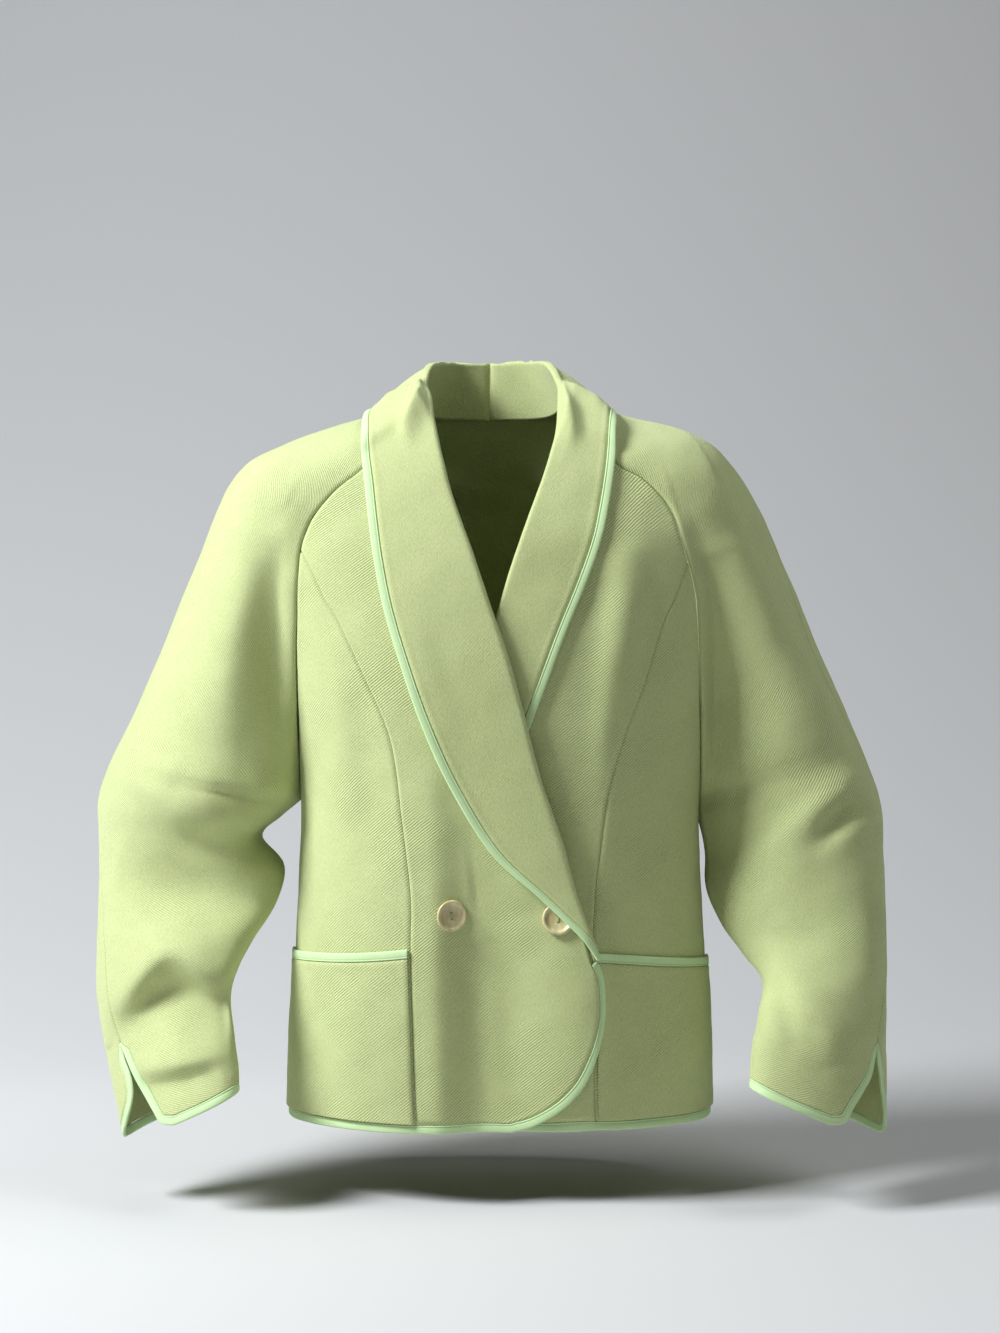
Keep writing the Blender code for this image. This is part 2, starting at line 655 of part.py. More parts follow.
def neck_rows(table, radius=3.0 * MM):
    """Lines across the collar round the neck: up its stand, over, and down its fall."""
    rows = []
    for row in np.array(table, float) * MM:
        seam, roll, outer = row[0:3], row[3:6], row[6:9]
        out = unit((outer - seam) * (1, 1, 0))
        up = unit(roll - seam)
        down = unit(outer - roll)
        centre = roll - up * radius + out * radius * 0.6
        line = [seam]
        for k in range(TURN_STEPS + 1):
            a = math.pi * k / TURN_STEPS
            line.append(centre - out * radius * math.cos(a) + np.array([0, 0, radius]) * math.sin(a))
        last = line[-1]
        for f in FALL_SHARES:
            bulge = 4 * f * (1 - f) * FALL_BULGE * np.linalg.norm(outer - roll)
            line.append(last + f * (outer - last) + bulge * unit(np.cross(np.cross(down, out), down)))
        rows.append(np.array(line))
    return rows


def along_line(line, distance):
    """The point, and what else its row holds, at a distance from a line's end."""
    steps = np.linalg.norm(np.diff(line[:, :3], axis=0), axis=1)
    along = np.concatenate([[0], np.cumsum(steps)])
    mark = along[-1] - distance
    return np.array([np.interp(mark, along, column) for column in line.T])


def cut_line(line, fall, distance):
    """The line with the last stretch, of this length, taken off its fall."""
    tail = [along_line(line, d) for d in np.linspace(fall, distance, FALL_POINTS)]
    return np.vstack([line[:-FALL_POINTS], tail])


def grid_normals(grid, flip):
    grid = np.array(grid)
    along_u = np.gradient(grid, axis=1)
    along_v = np.gradient(grid, axis=0)
    normals = np.cross(along_u, along_v)
    return flip * normals / np.linalg.norm(normals, axis=2, keepdims=True)


FALL_POINTS = len(FALL_SHARES) + 1      # the last points of a line, which lie over the body
CLEAR = CLOTH / 2 + BINDING_PROUD + 1.9 * MM


def build_collar(which, surface, lapel, neck, side):
    middle = NECK_MIDDLE - side * SEAM / 2
    supports = [f"sleeve_front_{which}", f"sleeve_back_{which}", f"front_{which}", "back"]
    lines = neck_rows(neck)[::-1] + lapel_rows(which, surface, lapel, side)
    lines[0][:, 0] = middle
    for line in lines:
        for i in range(len(line) - FALL_POINTS, len(line)):
            line[i] = rest_on(line[i], supports, CLEAR)
    normals = grid_normals(lines, side)
    normals[0, :, 0] = 0
    cloth, edge = [], []
    for line, upright in zip(lines, normals):
        line = np.hstack([line, upright])
        fall = np.linalg.norm(np.diff(line[-FALL_POINTS:, :3], axis=0), axis=1).sum()
        width = min(BINDING_WIDTH, 0.6 * fall)
        cloth.append(cut_line(line, fall, width + SEAM))
        edge.append([along_line(line, d) for d in (0, width / 2, width)])
    for name, grid, half, colour in (
            (f"collar_{which}", cloth, CLOTH / 2, CLOTH_COLOUR),
            (f"binding_collar_{which}", edge, CLOTH / 2 + BINDING_PROUD, BINDING_COLOUR)):
        grid = np.array(grid)
        place, upright = grid[:, :, :3], grid[:, :, 3:] * half
        loft_wall(name, place + upright, place - upright, colour)


build_collar("right", torso, LAPEL_RIGHT, NECK_RIGHT, 1)
build_collar("left", under, LAPEL_LEFT, NECK_LEFT, -1)


# --- pockets and buttons ----------------------------------------------------------

POCKET_LIFT = CLOTH + 0.9 * MM
POCKET_MARGIN = 0.012       # share of the side front left free beside each seam
POCKET_TOP = {
    # height at the princess seam, in the middle, at the side seam
    "right": (-469, -478, -482),
    "left": (-474, -484, -489),
}
POCKET_ROWS = 5
BUTTON_SEAT = 0.3 * MM
BUTTONS = {
    # x, z, turn of its two holes
    "button_decorative": (-43, -440, 8),
    "button_fastening": (51, -443, 8),
}
BUTTON_PROFILE = (
    # radius, height, from the middle of the face round the rim to the middle below
    (0, 1.3), (8, 1.3), (10, 1.7), (11.3, 3.0), (12.5, 3.4), (13.6, 3.0), (14, 2.0),
    (13.4, 0.8), (12, 0.0), (0, 0.0),
)
HOLE_RADIUS = 1.1 * MM
HOLE_SPACING = 5.4 * MM
HOLE_SIDES = 10
CUTTER_LENGTH = 20 * MM
BUTTON_SIDES = 28


def pocket_grid(which, surface, low, high):
    """Rows across the side front between two heights, each a function of the share."""
    sign = 1 if which == "left" else -1
    nodes = np.array(princess_nodes(which))[::-1]
    shares = [POCKET_MARGIN + f * (1 - 2 * POCKET_MARGIN) for f in SIDE_SHARES]
    grid = []
    for r in even(POCKET_ROWS if high is None else 1):
        row = []
        for f in shares:
            top = pocket_top(which, 1 - f)
            a = low if high is None else top - BINDING_WIDTH
            b = top - BINDING_WIDTH - SEAM if high is None else top
            z = b + r * (a - b)
            princess = np.interp(z, nodes[:, 1], nodes[:, 0])
            row.append(np.array([(1 - f) * sign * 90 + f * princess, z]))
        grid.append(row)
    return grid


def pocket_top(which, share):
    at_princess, middle, at_side = POCKET_TOP[which]
    s = share
    return MM * (at_princess * (1 - s) * (1 - 2 * s) + middle * 4 * s * (1 - s)
                 + at_side * s * (2 * s - 1))


def build_pocket(which, surface):
    floor = INNER_HEM + 1 * MM
    for name, grid, proud, colour in (
            (f"pocket_{which}", pocket_grid(which, surface, floor, None), 0, CLOTH_COLOUR),
            (f"binding_pocket_{which}", pocket_grid(which, surface, None, True),
             BINDING_PROUD, BINDING_COLOUR)):
        outer = lifted(surface, grid, POCKET_LIFT + proud)
        inner = lifted(surface, grid, POCKET_LIFT - CLOTH - proud)
        loft_wall(name, outer, inner, colour)


def build_button(name, x, z, turn):
    """A turned disc with a dished face, a rounded rim and two holes."""
    bpy.ops.mesh.primitive_cylinder_add(radius=HOLE_RADIUS, depth=CUTTER_LENGTH,
                                        vertices=HOLE_SIDES)
    cutter = bpy.context.object
    mesh = bpy.data.meshes.new(name)
    profile = [(r * MM, 0, h * MM) for r, h in BUTTON_PROFILE]
    mesh.from_pydata(profile, [(i, i + 1) for i in range(len(profile) - 1)], [])
    body = new_object(name, mesh, BUTTON_COLOUR, 0.35)
    screw = body.modifiers.new("turn", "SCREW")
    screw.steps = BUTTON_SIDES
    screw.render_steps = BUTTON_SIDES
    screw.use_merge_vertices = True
    screw.merge_threshold = 0.00005
    angle = angle_at(x * MM, z * MM)
    place = torso.at(angle, z * MM, BUTTON_SEAT)
    normal = Vector(torso.normal(angle, z * MM))
    frame = normal.to_track_quat("Z", "Y").to_matrix().to_4x4()
    frame = Matrix.Translation(Vector(place)) @ frame @ Matrix.Rotation(math.radians(turn), 4, "Z")
    body.matrix_world = frame
    for k, shift in enumerate((-HOLE_SPACING / 2, HOLE_SPACING / 2)):
        hole = cutter if k == 0 else cutter.copy()
        hole.name = f"cutter_{name}_{k}"
        hole.hide_render = True
        hole.display_type = "WIRE"
        for owner in list(hole.users_collection):
            owner.objects.unlink(hole)
        cutters.objects.link(hole)
        hole.matrix_world = frame @ Matrix.Translation((0, shift, 0))
        cut = body.modifiers.new(f"hole_{k}", "BOOLEAN")
        cut.operation = "DIFFERENCE"
        cut.object = hole


cutters = bpy.data.collections.new("cutters")
bpy.context.scene.collection.children.link(cutters)
build_pocket("right", torso)
build_pocket("left", under)
for button, (x, z, turn) in BUTTONS.items():
    build_button(button, x, z, turn)
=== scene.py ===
"""Looks of the worn, hollow double-breasted jacket: refined cloth on the CAD's surfaces.

Metres, +Z up, -Y is the front and +X the wearer's left. Tables are in millimetres. Every
cloth piece is a thin shell on the surface of its CAD solid, with its folds listed in tables.
"""

import math

import bpy
import numpy as np
from mathutils import Matrix, Vector
from mathutils.bvhtree import BVHTree


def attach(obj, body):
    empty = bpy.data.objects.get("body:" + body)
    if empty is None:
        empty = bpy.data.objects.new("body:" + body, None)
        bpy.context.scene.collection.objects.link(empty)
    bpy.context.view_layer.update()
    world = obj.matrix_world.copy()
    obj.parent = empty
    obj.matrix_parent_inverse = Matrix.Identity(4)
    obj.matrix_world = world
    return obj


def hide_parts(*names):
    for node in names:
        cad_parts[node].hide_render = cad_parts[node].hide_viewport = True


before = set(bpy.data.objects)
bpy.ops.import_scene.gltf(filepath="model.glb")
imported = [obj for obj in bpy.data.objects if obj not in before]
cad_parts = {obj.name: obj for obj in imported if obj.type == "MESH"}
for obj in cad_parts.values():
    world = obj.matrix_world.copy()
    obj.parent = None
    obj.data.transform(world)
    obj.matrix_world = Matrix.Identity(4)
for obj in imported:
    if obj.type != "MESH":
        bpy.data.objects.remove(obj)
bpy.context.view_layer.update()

MM = 0.001
CLOTH = 2.0 * MM            # thickness of the wool
SEAM = 0.3 * MM             # gap between two pieces that are sewn together
BINDING_WIDTH = 8.0 * MM
BINDING_PROUD = 0.4 * MM    # how far a binding stands off both sides of the cloth
HEM_Z = -634.0 * MM
LAYER = 7.5 * MM            # the left front lies this far inside the right one

# Torso sections: height, half width, depth in front of and behind the side seam,
# and how square the section is.
TORSO = (
    # z, half_width, front, back, squareness
    (-700, 198, 116, 108, 2.5),
    (-634, 196, 116, 107, 2.5),
    (-560, 194, 119, 106, 2.5),
    (-480, 190, 122, 104, 2.5),
    (-400, 186, 124, 102, 2.5),
    (-345, 185, 126, 102, 2.5),
    (-270, 192, 130, 107, 2.6),
    (-200, 202, 133, 111, 2.6),
    (-140, 214, 129, 114, 2.6),
    (-100, 222, 121, 114, 2.6),
    (-60, 220, 109, 109, 2.6),
    (-30, 203, 97, 99, 2.5),
    (0, 172, 78, 85, 2.4),
    (25, 134, 56, 72, 2.3),
    (45, 104, 42, 62, 2.2),
)
# Raglan seams, the same in front and behind: height and distance from the middle.
RAGLAN_RIGHT = (
    # z, x
    (19, -87), (-6, -103), (-40, -120), (-62, -146), (-81, -163), (-96, -172),
    (-117, -179), (-150, -182), (-183, -183), (-211, -184), (-239, -184), (-267, -184),
    (-305, -184), (-345, -185),
)
RAGLAN_LEFT = (
    (19, 69), (-6, 84), (-38, 102), (-52, 126), (-69, 144), (-86, 155), (-105, 161),
    (-127, 168), (-149, 174), (-170, 177), (-221, 180), (-265, 182), (-311, 184),
    (-360, 186),
)
# Princess seams of the fronts, from the raglan seam to the hem.
PRINCESS_RIGHT = (
    # z, x
    (-117, -179), (-138, -167), (-160, -157), (-185, -142), (-233, -119), (-286, -97),
    (-356, -87), (-423, -79), (-474, -79), (-586, -76), (-634, -74),
)
PRINCESS_LEFT = (
    (-127, 168), (-160, 156), (-184, 145), (-238, 128), (-279, 113), (-333, 99),
    (-389, 91), (-430, 87), (-541, 88), (-634, 88),
)
# Lapels: the roll line, where the front turns over, and the collar's outer edge beside
# it, from the neck down to where they meet.
LAPEL_RIGHT = (
    # roll x, z, outer x, z
    (-63, 24, -123, -16), (-60, 3, -122, -38), (-52, -34, -119, -62),
    (-43, -69, -115, -94), (-28, -112, -110, -128), (-14, -153, -101, -171),
    (5, -209, -86, -221), (19, -258, -68, -273), (34, -316, -45, -327),
    (51, -372, -8, -385), (66, -420, 34, -424), (78, -455, 67, -456),
)
LAPEL_LEFT = (
    (53, 24, 103, -12), (51, -8, 103, -30), (44, -37, 100, -55),
    (31, -75, 95, -84), (19, -108, 89, -110), (7, -143, 77, -145),
    (-8, -195, 58, -192), (-24, -250, 37, -248), (-40, -316, 12, -310),
    (-54, -372, -18, -372), (-66, -420, -46, -418), (-75, -455, -64, -456),
)
# The collar round the neck, from above the lapel to the centre back.
NECK_RIGHT = (
    # seam x, y, z, roll x, y, z, outer x, y, z
    (-80, -28, 26, -67, -20, 46, -122, -12, 8),
    (-84, 2, 29, -64, 4, 60, -118, 12, 17),
    (-79, 32, 27, -58, 30, 66, -110, 46, 21),
    (-62, 56, 25, -42, 52, 68, -82, 86, 0),
    (-10, 68, 24, -10, 64, 69, -10, 98, -10),
)
NECK_LEFT = (
    (62, -26, 28, 50, -18, 48, 103, -10, 9),
    (64, 2, 31, 44, 4, 61, 97, 12, 23),
    (59, 32, 28, 38, 30, 67, 90, 46, 25),
    (42, 56, 25, 22, 52, 69, 62, 84, 2),
    (-10, 68, 24, -10, 64, 69, -10, 98, -10),
)
# Finished front edges below the lapel, round the corner to the start of the hem.
FRONT_EDGE_RIGHT = (
    # x, z
    (86, -480), (91, -493), (93.5, -515), (93, -535), (88, -560), (80, -582), (69, -599),
    (52, -615), (30, -628), (10, -634),
)
FRONT_EDGE_LEFT = (
    (-80, -480), (-85, -493), (-87, -515), (-86, -535), (-82, -560), (-74, -582),
    (-62, -599), (-46, -615), (-24, -628), (-4, -634),
)
SIDE_CORNER = 11.0 * MM     # radius of the hem's corners at the side seams
SIDE_BLEND = 0.25           # cosine of the angles between which the front's depth gives way
# The left front comes out from under the right one between these places.
LAP_X = (0.075, 0.125)
LAP_Z = (-0.170, -0.100)

# Rows run from the neck to the cuff. The first rows start and end on the raglan seam,
# one row of the sleeve to each row of that seam; the others are closed rings that
# start at the underarm seam. Outer is the over-arm seam, inner the underarm seam.
SLEEVE_RIGHT = (
    # outer x, y, z, inner x, y, z, bulge front, bulge back, openness, seam share
    (-91, 0, 24, 0, 0, 0, 0, 0, 0.0, 0.50),
    (-109, 0, 16, 0, 0, 0, 0, 0, 0.3, 0.50),
    (-134, 0, 9, 0, 0, 0, 0, 0, 0.7, 0.50),
    (-167, 0, -1, 0, 0, 0, 0, 0, 0.9, 0.50),
    (-202, 0, -15, 0, 0, 0, 0, 0, 1.0, 0.50),
    (-232, 0, -29, 0, 0, 0, 0, 0, 1.0, 0.50),
    (-251, 0, -50, 0, 0, 0, 30, 30, 0.95, 0.50),
    (-264, 0, -77, 0, 0, 0, 50, 50, 0.85, 0.50),
    (-279, 2, -115, 0, 0, 0, 62, 62, 0.7, 0.50),
    (-291, 5, -143, 0, 0, 0, 68, 66, 0.6, 0.50),
    (-304, 8, -175, 0, 0, 0, 72, 70, 0.5, 0.50),
    (-320, 12, -213, 0, 0, 0, 75, 73, 0.35, 0.50),
    (-341, 17, -260, 0, 0, 0, 77, 75, 0.2, 0.50),
    (-366, 22, -310, 0, 0, 0, 78, 76, 0.0, 0.49),
    (-377, 20, -343, -205, 0, -361, 74, 76, 0.0, 0.48),
    (-376, 12, -372, -222, -4, -379, 66, 74, 0.0, 0.47),
    (-374, 2, -402, -201, -14, -405, 66, 70, 0.0, 0.460),
    (-372, -12, -437, -207, -32, -440, 62, 64, 0.0, 0.435),
    (-371, -28, -475, -226, -62, -472, 56, 56, 0.0, 0.410),
    (-369, -42, -515, -240, -92, -508, 50, 50, 0.0, 0.385),
    (-361, -56, -556, -236, -110, -543, 46, 46, 0.0, 0.368),
    (-350, -68, -600, -231, -122, -570, 44, 44, 0.0, 0.362),
    (-338, -80, -646, -229, -132, -594, 42, 42, 0.0, 0.362),
)
SLEEVE_LEFT = (
    (73, 0, 28, 0, 0, 0, 0, 0, 0.0, 0.49),
    (94, 0, 20, 0, 0, 0, 0, 0, 0.3, 0.49),
    (120, 0, 12, 0, 0, 0, 0, 0, 0.7, 0.48),
    (149, 0, 5, 0, 0, 0, 0, 0, 0.9, 0.48),
    (176, 0, -3, 0, 0, 0, 0, 0, 1.0, 0.48),
    (199, 0, -16, 0, 0, 0, 0, 0, 1.0, 0.48),
    (216, 0, -34, 0, 0, 0, 0, 0, 1.0, 0.47),
    (231, 0, -56, 0, 0, 0, 30, 30, 0.95, 0.47),
    (244, 0, -80, 0, 0, 0, 46, 46, 0.85, 0.455),
    (255, 0, -104, 0, 0, 0, 56, 56, 0.75, 0.430),
    (276, 2, -152, 0, 0, 0, 66, 66, 0.6, 0.405),
    (295, 7, -198, 0, 0, 0, 72, 72, 0.45, 0.400),
    (318, 14, -247, 0, 0, 0, 76, 76, 0.2, 0.415),
    (343, 20, -306, 0, 0, 0, 78, 78, 0.0, 0.445),
    (357, 18, -350, 191, -5, -392, 76, 76, 0.0, 0.458),
    (358, 10, -395, 191, -14, -425, 70, 72, 0.0, 0.46),
    (358, 0, -440, 204, -30, -458, 64, 66, 0.0, 0.455),
    (357, -14, -478, 222, -55, -484, 58, 60, 0.0, 0.445),
    (354, -30, -518, 236, -82, -504, 52, 54, 0.0, 0.415),
    (352, -46, -556, 230, -104, -530, 48, 48, 0.0, 0.387),
    (351, -60, -600, 222, -118, -560, 44, 44, 0.0, 0.380),
    (347, -74, -646, 219, -132, -590, 42, 42, 0.0, 0.380),
)


# --- curves and tables ------------------------------------------------------------

CURVE_STEPS = 24            # to each row, where a curve's length is measured
HALVINGS = 32               # of the interval in which an angle is looked for


def curve(rows, at):
    """Points of a smooth curve through the rows, at row numbers with fractions."""
    pts = np.array(rows, float)
    last = len(pts) - 1
    padded = np.concatenate([2 * pts[:1] - pts[1:2], pts, 2 * pts[-1:] - pts[-2:-1]])
    at = np.clip(np.asarray(at, float), 0, last)
    i = np.minimum(at.astype(int), last - 1)
    f = (at - i).reshape(at.shape + (1,) * (pts.ndim - 1))
    a, b, c, d = (padded[i + k] for k in range(4))
    return 0.5 * (2 * b + (c - a) * f + (2 * a - 5 * b + 4 * c - d) * f ** 2
                  + (3 * b - a - 3 * c + d) * f ** 3)


def steps(count, each):
    """Row numbers from 0 to count, with this many steps to each row."""
    return np.linspace(0, count, count * each + 1)


def lengths_along(line):
    """How far each point of a line is from its first one, along the line."""
    return np.append(0, np.linalg.norm(np.diff(line, axis=0), axis=1).cumsum())


def even_curve(rows, count):
    """The smooth curve's points at even arc length."""
    fine = steps(len(rows) - 1, CURVE_STEPS)
    along = lengths_along(curve(rows, fine))
    return curve(rows, np.interp(np.linspace(0, along[-1], count), along, fine))


def paired(u, v):
    """Rows of u, v; either may be one number."""
    return np.stack(np.broadcast_arrays(u, v), axis=-1)


def columns_at(rows, x):
    """Columns of a table at x, on smooth curves (the first column is the key)."""
    table = np.array(rows, float)
    keys, values = table[:, 0], table[:, 1:]
    slopes = np.empty_like(values)
    slopes[1:-1] = (values[2:] - values[:-2]) / (keys[2:] - keys[:-2])[:, None]
    slopes[0] = (values[1] - values[0]) / (keys[1] - keys[0])
    slopes[-1] = (values[-1] - values[-2]) / (keys[-1] - keys[-2])
    x = np.clip(x, keys[0], keys[-1])
    i = np.clip(np.searchsorted(keys, x, side="right") - 1, 0, len(keys) - 2)
    step = (keys[i + 1] - keys[i])[..., None]
    t = (x - keys[i])[..., None] / step
    h = t * t * (3 - 2 * t)
    found = ((1 - h) * values[i] + h * values[i + 1]
             + t * (1 - t) * step * ((1 - t) * slopes[i] - t * slopes[i + 1]))
    return np.moveaxis(found, -1, 0)


def unit(v):
    return v / np.maximum(np.linalg.norm(v, axis=-1, keepdims=True), 1e-12)


def ease(x, start, end):
    """0 before start, 1 after end, smooth between."""
    t = np.clip((x - start) / (end - start), 0.0, 1.0)
    return t * t * (3 - 2 * t)


# --- folds ------------------------------------------------------------------------

# Soft ridges (+) and troughs (-) as seen from the front or back: a line of x, z points,
# how far each one spreads to the left and to the right of its line as it is walked, and
# its height. They fade out at both ends of their line.
BODY_FOLDS = {
    "front": (
        # left, right, height, line of x, z
        (22, 75, 11.0, ((-64, -280), (-62, -430), (-58, -560), (-56, -700))),
        (50, 24, -10.0, ((-22, -452), (-18, -500), (-15, -580), (-14, -720))),
        (12, 60, 11.0, ((64, -420), (80, -480), (84, -560), (70, -640))),
        (34, 24, -9.0, ((118, -230), (122, -360), (126, -520), (126, -700))),
        (60, 60, -10.0, ((190, -190), (186, -350), (184, -500), (184, -700))),
        (40, 40, -6.0, ((-180, -180), (-180, -350), (-180, -500), (-180, -720))),
        (12, 12, 1.8, ((-8, -480), (-6, -550), (2, -640))),
        (10, 10, -1.4, ((-78, -500), (-75, -570), (-72, -650))),
        (18, 18, 4.2, ((118, -100), (108, -162), (96, -251), (90, -383))),
        (14, 14, -3.4, ((142, -140), (134, -200), (122, -260))),
        (16, 16, -2.4, ((-128, -230), (-118, -300), (-112, -390))),
        (20, 20, 2.2, ((-150, -210), (-146, -320), (-148, -440))),
        (15, 15, 1.5, ((-130, -490), (-132, -560), (-126, -650))),
    ),
    "back": (
        # left, right, height, line of x, z
        (30, 30, -8.0, ((-70, -120), (-62, -260), (-58, -420))),
        (26, 26, -6.8, ((84, -130), (76, -280), (70, -430))),
        (34, 34, 6.0, ((8, -90), (4, -240), (2, -400))),
        (20, 20, 4.8, ((-120, -380), (-112, -500), (-118, -640))),
        (18, 18, -5.2, ((-30, -420), (-24, -540), (-28, -650))),
        (20, 20, 4.0, ((110, -400), (118, -520), (112, -650))),
        (14, 14, -6.0, ((-120, -60), (-60, -46), (0, -52), (60, -44), (110, -56))),
    ),
}
SLEEVE_FOLDS = {
    "front": (
        # left, right, height, line of x, z
        (40, 16, 16.0, ((-350, -312), (-318, -328), (-279, -355), (-241, -372),
                        (-210, -366), (-180, -356))),
        (36, 26, -21.0, ((-360, -404), (-318, -420), (-284, -426), (-246, -430),
                         (-200, -420))),
        (18, 10, 12.0, ((-340, -520), (-318, -492), (-299, -476), (-279, -477), (-256, -492),
                        (-226, -502))),
        (15, 36, -22.0, ((-340, -552), (-318, -532), (-299, -515), (-279, -512),
                         (-254, -522), (-222, -530))),
        (20, 24, 9.0, ((-290, -320), (-240, -348), (-200, -352))),
        (14, 8, 5.0, ((-326, -576), (-285, -568), (-236, -556))),
        (8, 14, -6.0, ((-320, -594), (-285, -586), (-240, -574))),
        (18, 22, -11.0, ((-206, -95), (-204, -160), (-200, -230), (-200, -300))),
        (22, 40, 8.0, ((-199, -90), (-236, -165), (-250, -240), (-254, -300))),
        (40, 24, -26.0, ((166, -110), (190, -200), (201, -290), (203, -380), (194, -460))),
        (14, 55, 15.0, ((206, -70), (262, -190), (312, -290), (342, -350), (348, -432),
                        (344, -540))),
        (12, 12, -4.5, ((212, -66), (248, -140), (276, -216))),
        (16, 60, 13.0, ((350, -370), (352, -480), (338, -650))),
        (60, 12, 8.0, ((344, -308), (316, -328), (290, -346), (262, -370), (236, -401),
                        (222, -431), (214, -470))),
        (10, 11, -12.0, ((350, -332), (326, -347), (304, -361), (284, -380))),
        (18, 16, 6.0, ((246, -496), (284, -526), (294, -574))),
        (9, 10, -4.5, ((226, -476), (248, -512), (256, -548))),
    ),
    "back": (
        # left, right, height, line of x, z
        (13, 13, 13.1, ((-350, -318), (-300, -338), (-230, -352))),
        (15, 15, -19.2, ((-352, -345), (-318, -372), (-270, -382), (-215, -372))),
        (14, 14, 9.6, ((-350, -395), (-310, -412), (-250, -415))),
        (14, 14, -12.0, ((-350, -480), (-310, -470), (-262, -492), (-235, -530))),
        (16, 16, -12.0, ((-222, -100), (-210, -200), (-196, -300))),
        (22, 22, 8.3, ((-268, -110), (-262, -210), (-250, -290))),
        (13, 13, 14.4, ((345, -300), (300, -335), (235, -372), (200, -400))),
        (15, 15, -19.2, ((350, -335), (300, -372), (250, -402), (205, -425))),
        (14, 14, 8.3, ((345, -400), (300, -430), (240, -452))),
        (14, 14, -10.9, ((345, -470), (305, -482), (262, -512), (235, -545))),
        (16, 16, -13.1, ((190, -110), (200, -200), (206, -300))),
        (22, 22, 9.6, ((236, -110), (246, -210), (252, -290))),
    ),
}
FOLD_STEPS = 10             # to each point of a fold's line
FADE_ENDS = 0.04            # of a line's length, where the fold is at its lowest
FADE_POWER = 0.6
FOLD_REACH = 2.5            # times its width, past which a fold is left out
FOLD_TURN = 0.5             # how far a surface faces forward or back to show its folds in full
FOLD_NET = 2.0              # millimetres between the points of a field
FOLD_X = np.arange(-400, 401, FOLD_NET)
FOLD_Z = np.arange(-750, 121, FOLD_NET)


def fold_field(folds):
    """The heights of one face's folds on a net of x, z points."""
    heights = np.zeros((len(FOLD_Z), len(FOLD_X)))
    for left, right, height, line in folds:
        path = curve(line, steps(len(line) - 1, FOLD_STEPS))
        reach = FOLD_REACH * max(left, right)
        lo, hi = path.min(axis=0) - reach, path.max(axis=0) + reach
        columns = slice(*np.searchsorted(FOLD_X, (lo[0], hi[0])))
        rows = slice(*np.searchsorted(FOLD_Z, (lo[1], hi[1])))
        flat = np.stack(np.meshgrid(FOLD_X[columns], FOLD_Z[rows]), axis=-1)
        nearest = np.full(flat.shape[:-1], np.inf)
        share = np.zeros(flat.shape[:-1])
        width = np.full(flat.shape[:-1], float(left))
        for k in range(len(path) - 1):
            along = path[k + 1] - path[k]
            t = np.clip(((flat - path[k]) @ along) / (along @ along), 0, 1)
            off = flat - path[k] - t[..., None] * along
            gap = np.linalg.norm(off, axis=-1)
            closer = gap < nearest
            nearest = np.where(closer, gap, nearest)
            share = np.where(closer, (k + t) / (len(path) - 1), share)
            on_left = along[0] * off[..., 1] - along[1] * off[..., 0] > 0
            width = np.where(closer, np.where(on_left, left, right), width)
        fade = np.sin(math.pi * np.clip(share, FADE_ENDS, 1 - FADE_ENDS)) ** FADE_POWER
        heights[rows, columns] += height * fade * np.exp(-(nearest / width) ** 2)
    return heights * MM


def field_at(field, points):
    """A field's heights at points, between those of its net."""
    i = np.clip((points[..., 0] / MM - FOLD_X[0]) / FOLD_NET, 0, len(FOLD_X) - 1.001)
    j = np.clip((points[..., 2] / MM - FOLD_Z[0]) / FOLD_NET, 0, len(FOLD_Z) - 1.001)
    column, row = i.astype(int), j.astype(int)
    a, b = i - column, j - row
    low = (1 - a) * field[row, column] + a * field[row, column + 1]
    high = (1 - a) * field[row + 1, column] + a * field[row + 1, column + 1]
    return (1 - b) * low + b * high


def folded(points, turn, fields):
    """Points moved forward or back by the folds; turn is 1 in front, -1 behind, 0 beside."""
    height = np.where(turn > 0, -field_at(fields[0], points), field_at(fields[1], points))
    points[..., 1] += height * ease(np.abs(turn), 0.0, FOLD_TURN)
    return points


BODY_FIELDS = [fold_field(BODY_FOLDS[face]) for face in ("front", "back")]
SLEEVE_FIELDS = [fold_field(SLEEVE_FOLDS[face]) for face in ("front", "back")]


# --- surfaces ---------------------------------------------------------------------

class Surface:
    """A smooth surface of two parameters with its normal, pointing outward."""

    def __init__(self, point, flip=1.0, step=(0.3, 0.0015)):
        self.point = point
        self.flip = flip
        self.step = step

    def tangents(self, u, v):
        du, dv = self.step
        along_u = (self.point(u + du, v) - self.point(u - du, v)) / (2 * du)
        along_v = (self.point(u, v + dv) - self.point(u, v - dv)) / (2 * dv)
        return along_u, along_v

    def normal(self, u, v):
        return self.flip * unit(np.cross(*self.tangents(u, v)))

    def at(self, u, v, lift=0.0):
        return self.point(u, v) + np.asarray(lift)[..., None] * self.normal(u, v)

    def move(self, u, v, vector):
        """The parameters after a small step along the surface."""
        a, b = self.tangents(u, v)
        aa, ab, bb = (a * a).sum(-1), (a * b).sum(-1), (b * b).sum(-1)
        av, bv = (a * vector).sum(-1), (b * vector).sum(-1)
        det = np.maximum(aa * bb - ab * ab, 1e-18)
        return u + (bb * av - ab * bv) / det, v + (aa * bv - ab * av) / det

    def inset(self, edge, distance, side):
        """An edge (rows of u, v) moved sideways over the surface by a distance."""
        edge = np.array(edge, float)
        u, v = edge.T
        pts = self.point(u, v)
        tangent = np.vstack([pts[1:2] - pts[:1], pts[2:] - pts[:-2], pts[-1:] - pts[-2:-1]])
        across = side * np.cross(self.normal(u, v), unit(tangent))
        return np.stack(self.move(u, v, across * distance), axis=-1)


